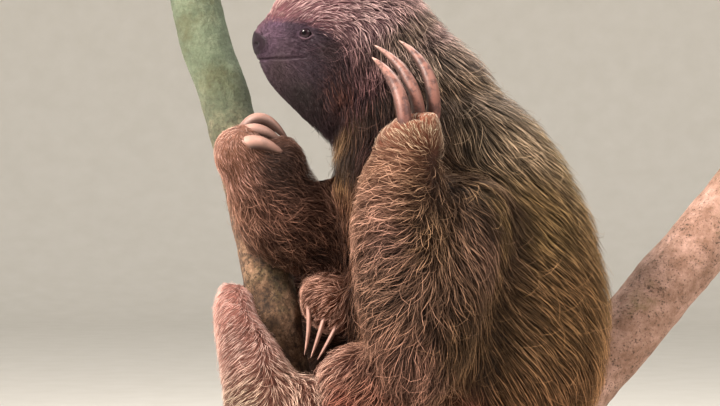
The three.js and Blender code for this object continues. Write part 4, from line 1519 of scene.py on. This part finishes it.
low, high = BASE_LOW[2], BASE_HIGH[2]
rings = [base_ring(CHAMFER, low), base_ring(0, low + CHAMFER)]
for a in np.linspace(0, math.pi / 2, 7):
    rings.append(base_ring(EDGE * (1 - math.cos(a)), high - EDGE + EDGE * math.sin(a)))
base = stacked("stand_base_board", rings)
base.data.materials.append(lacquer)
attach(base, "root")
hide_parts("stand_base")

for name in ("stand_rod_1", "stand_rod_2"):
    low, high = (np.array(c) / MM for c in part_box(name))
    x, y, radius = (low[0] + high[0]) / 2, (low[1] + high[1]) / 2, (high[0] - low[0]) / 2
    # Per ring: how far it stands out past the rod, and how high it is on it.
    collar = [(2.2, 0.0), (2.2, 0.2), (3, 1.0), (3, 3.6), (2.2, 4.4), (0.1, 4.6), (-0.05, 4.7)]
    profile = [(radius + past, z) for past, z in collar + [(-0.05, high[2] - low[2])]]
    turns = np.linspace(0, 2 * math.pi, 48, endpoint=False)
    rings = [[(x + r * math.cos(a), y + r * math.sin(a), low[2] + z) for a in turns] for r, z in profile]
    bar = stacked(name + "_bar", rings)
    bar.data.materials.append(steel)
    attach(bar, "root")
    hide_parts(name)


# ------------------------------------------------------------------ studio
# A plain paper sweep all round the stand, soft round lamps above it, and the camera, which looks
# level at the animal's left side from over a metre away.

FLAT, CURVE, WALL = 4500, 1200, 4200  # radius of the flat paper, radius of its curve, height
BELOW = 0.2  # the gap between the stand's underside and the paper
ROUND = 64


def paper_finish():
    """Matt off-white background paper."""
    made, tree, at = finish("matt paper sweep")
    fibre = add(tree, "TexNoise", {"Vector": at, "Scale": per(60), "Detail": 4}).outputs["Fac"]
    tone = add(tree, "ValToRGB", {"Fac": fibre}, [(0.3, "dedbd4"), (0.7, "e3e0da")]).outputs["Color"]
    return surfaced(made, {"Base Color": tone, "Roughness": 0.9})


profile = [(0, 0), (FLAT, 0)]
for a in np.linspace(0.1, math.pi / 2, 12):
    profile.append((FLAT + CURVE * math.sin(a), CURVE * (1 - math.cos(a))))
profile.append((FLAT + CURVE, WALL))
turns = np.linspace(0, 2 * math.pi, ROUND, endpoint=False)
points = [(r * math.cos(a), r * math.sin(a), z - BELOW) for r, z in profile for a in turns]
sweep = new_object("sweep", points, tube(len(profile), ROUND))
sweep.data.materials.append(paper_finish())


AIMED_AT = (0, 0, 0.33)  # the middle of the animal


def lamp(name, place, size, power, colour, highlight=1.0):
    """A round soft lamp at a place in metres, turned to the middle of the animal."""
    data = bpy.data.lights.new(name, "AREA")
    data.shape = "DISK"
    data.size = size
    data.energy = power
    data.color = linear(colour)
    data.specular_factor = highlight
    made = shown(name, data)
    made.location = place
    made.rotation_euler = (Vector(AIMED_AT) - Vector(place)).to_track_quat("-Z", "Y").to_euler()


lamp("key", (-1.5, -1.1, 1.7), 0.6, 114, "fff2e8")
lamp("fill", (1.0, -1.4, 1.8), 0.9, 22, "fffaf4", 0.8)
lamp("top", (0.4, 0.9, 1.9), 1.0, 30, "fffaf2", 0.6)
lamp("back_left", (-1.3, 1.2, 0.8), 1.2, 8, "ffffff", 0.6)

world = bpy.data.worlds.new("studio")
world.use_nodes = True
background = world.node_tree.nodes["Background"]
background.inputs["Color"].default_value = (*linear("efede8"), 1)
background.inputs["Strength"].default_value = 0.7
bpy.context.scene.world = world
bpy.context.scene.view_settings.view_transform = "Standard"

CAMERA_PLACE = (-0.052, -1.300, 0.347)  # in metres
FILM_WIDTH, LENS = 36, 100

camera_data = bpy.data.cameras.new("camera")
camera_data.sensor_width = FILM_WIDTH
camera_data.lens = LENS
camera = shown("camera", camera_data)
camera.location = CAMERA_PLACE
camera.rotation_euler = (math.pi / 2, 0, 0)
bpy.context.scene.camera = camera
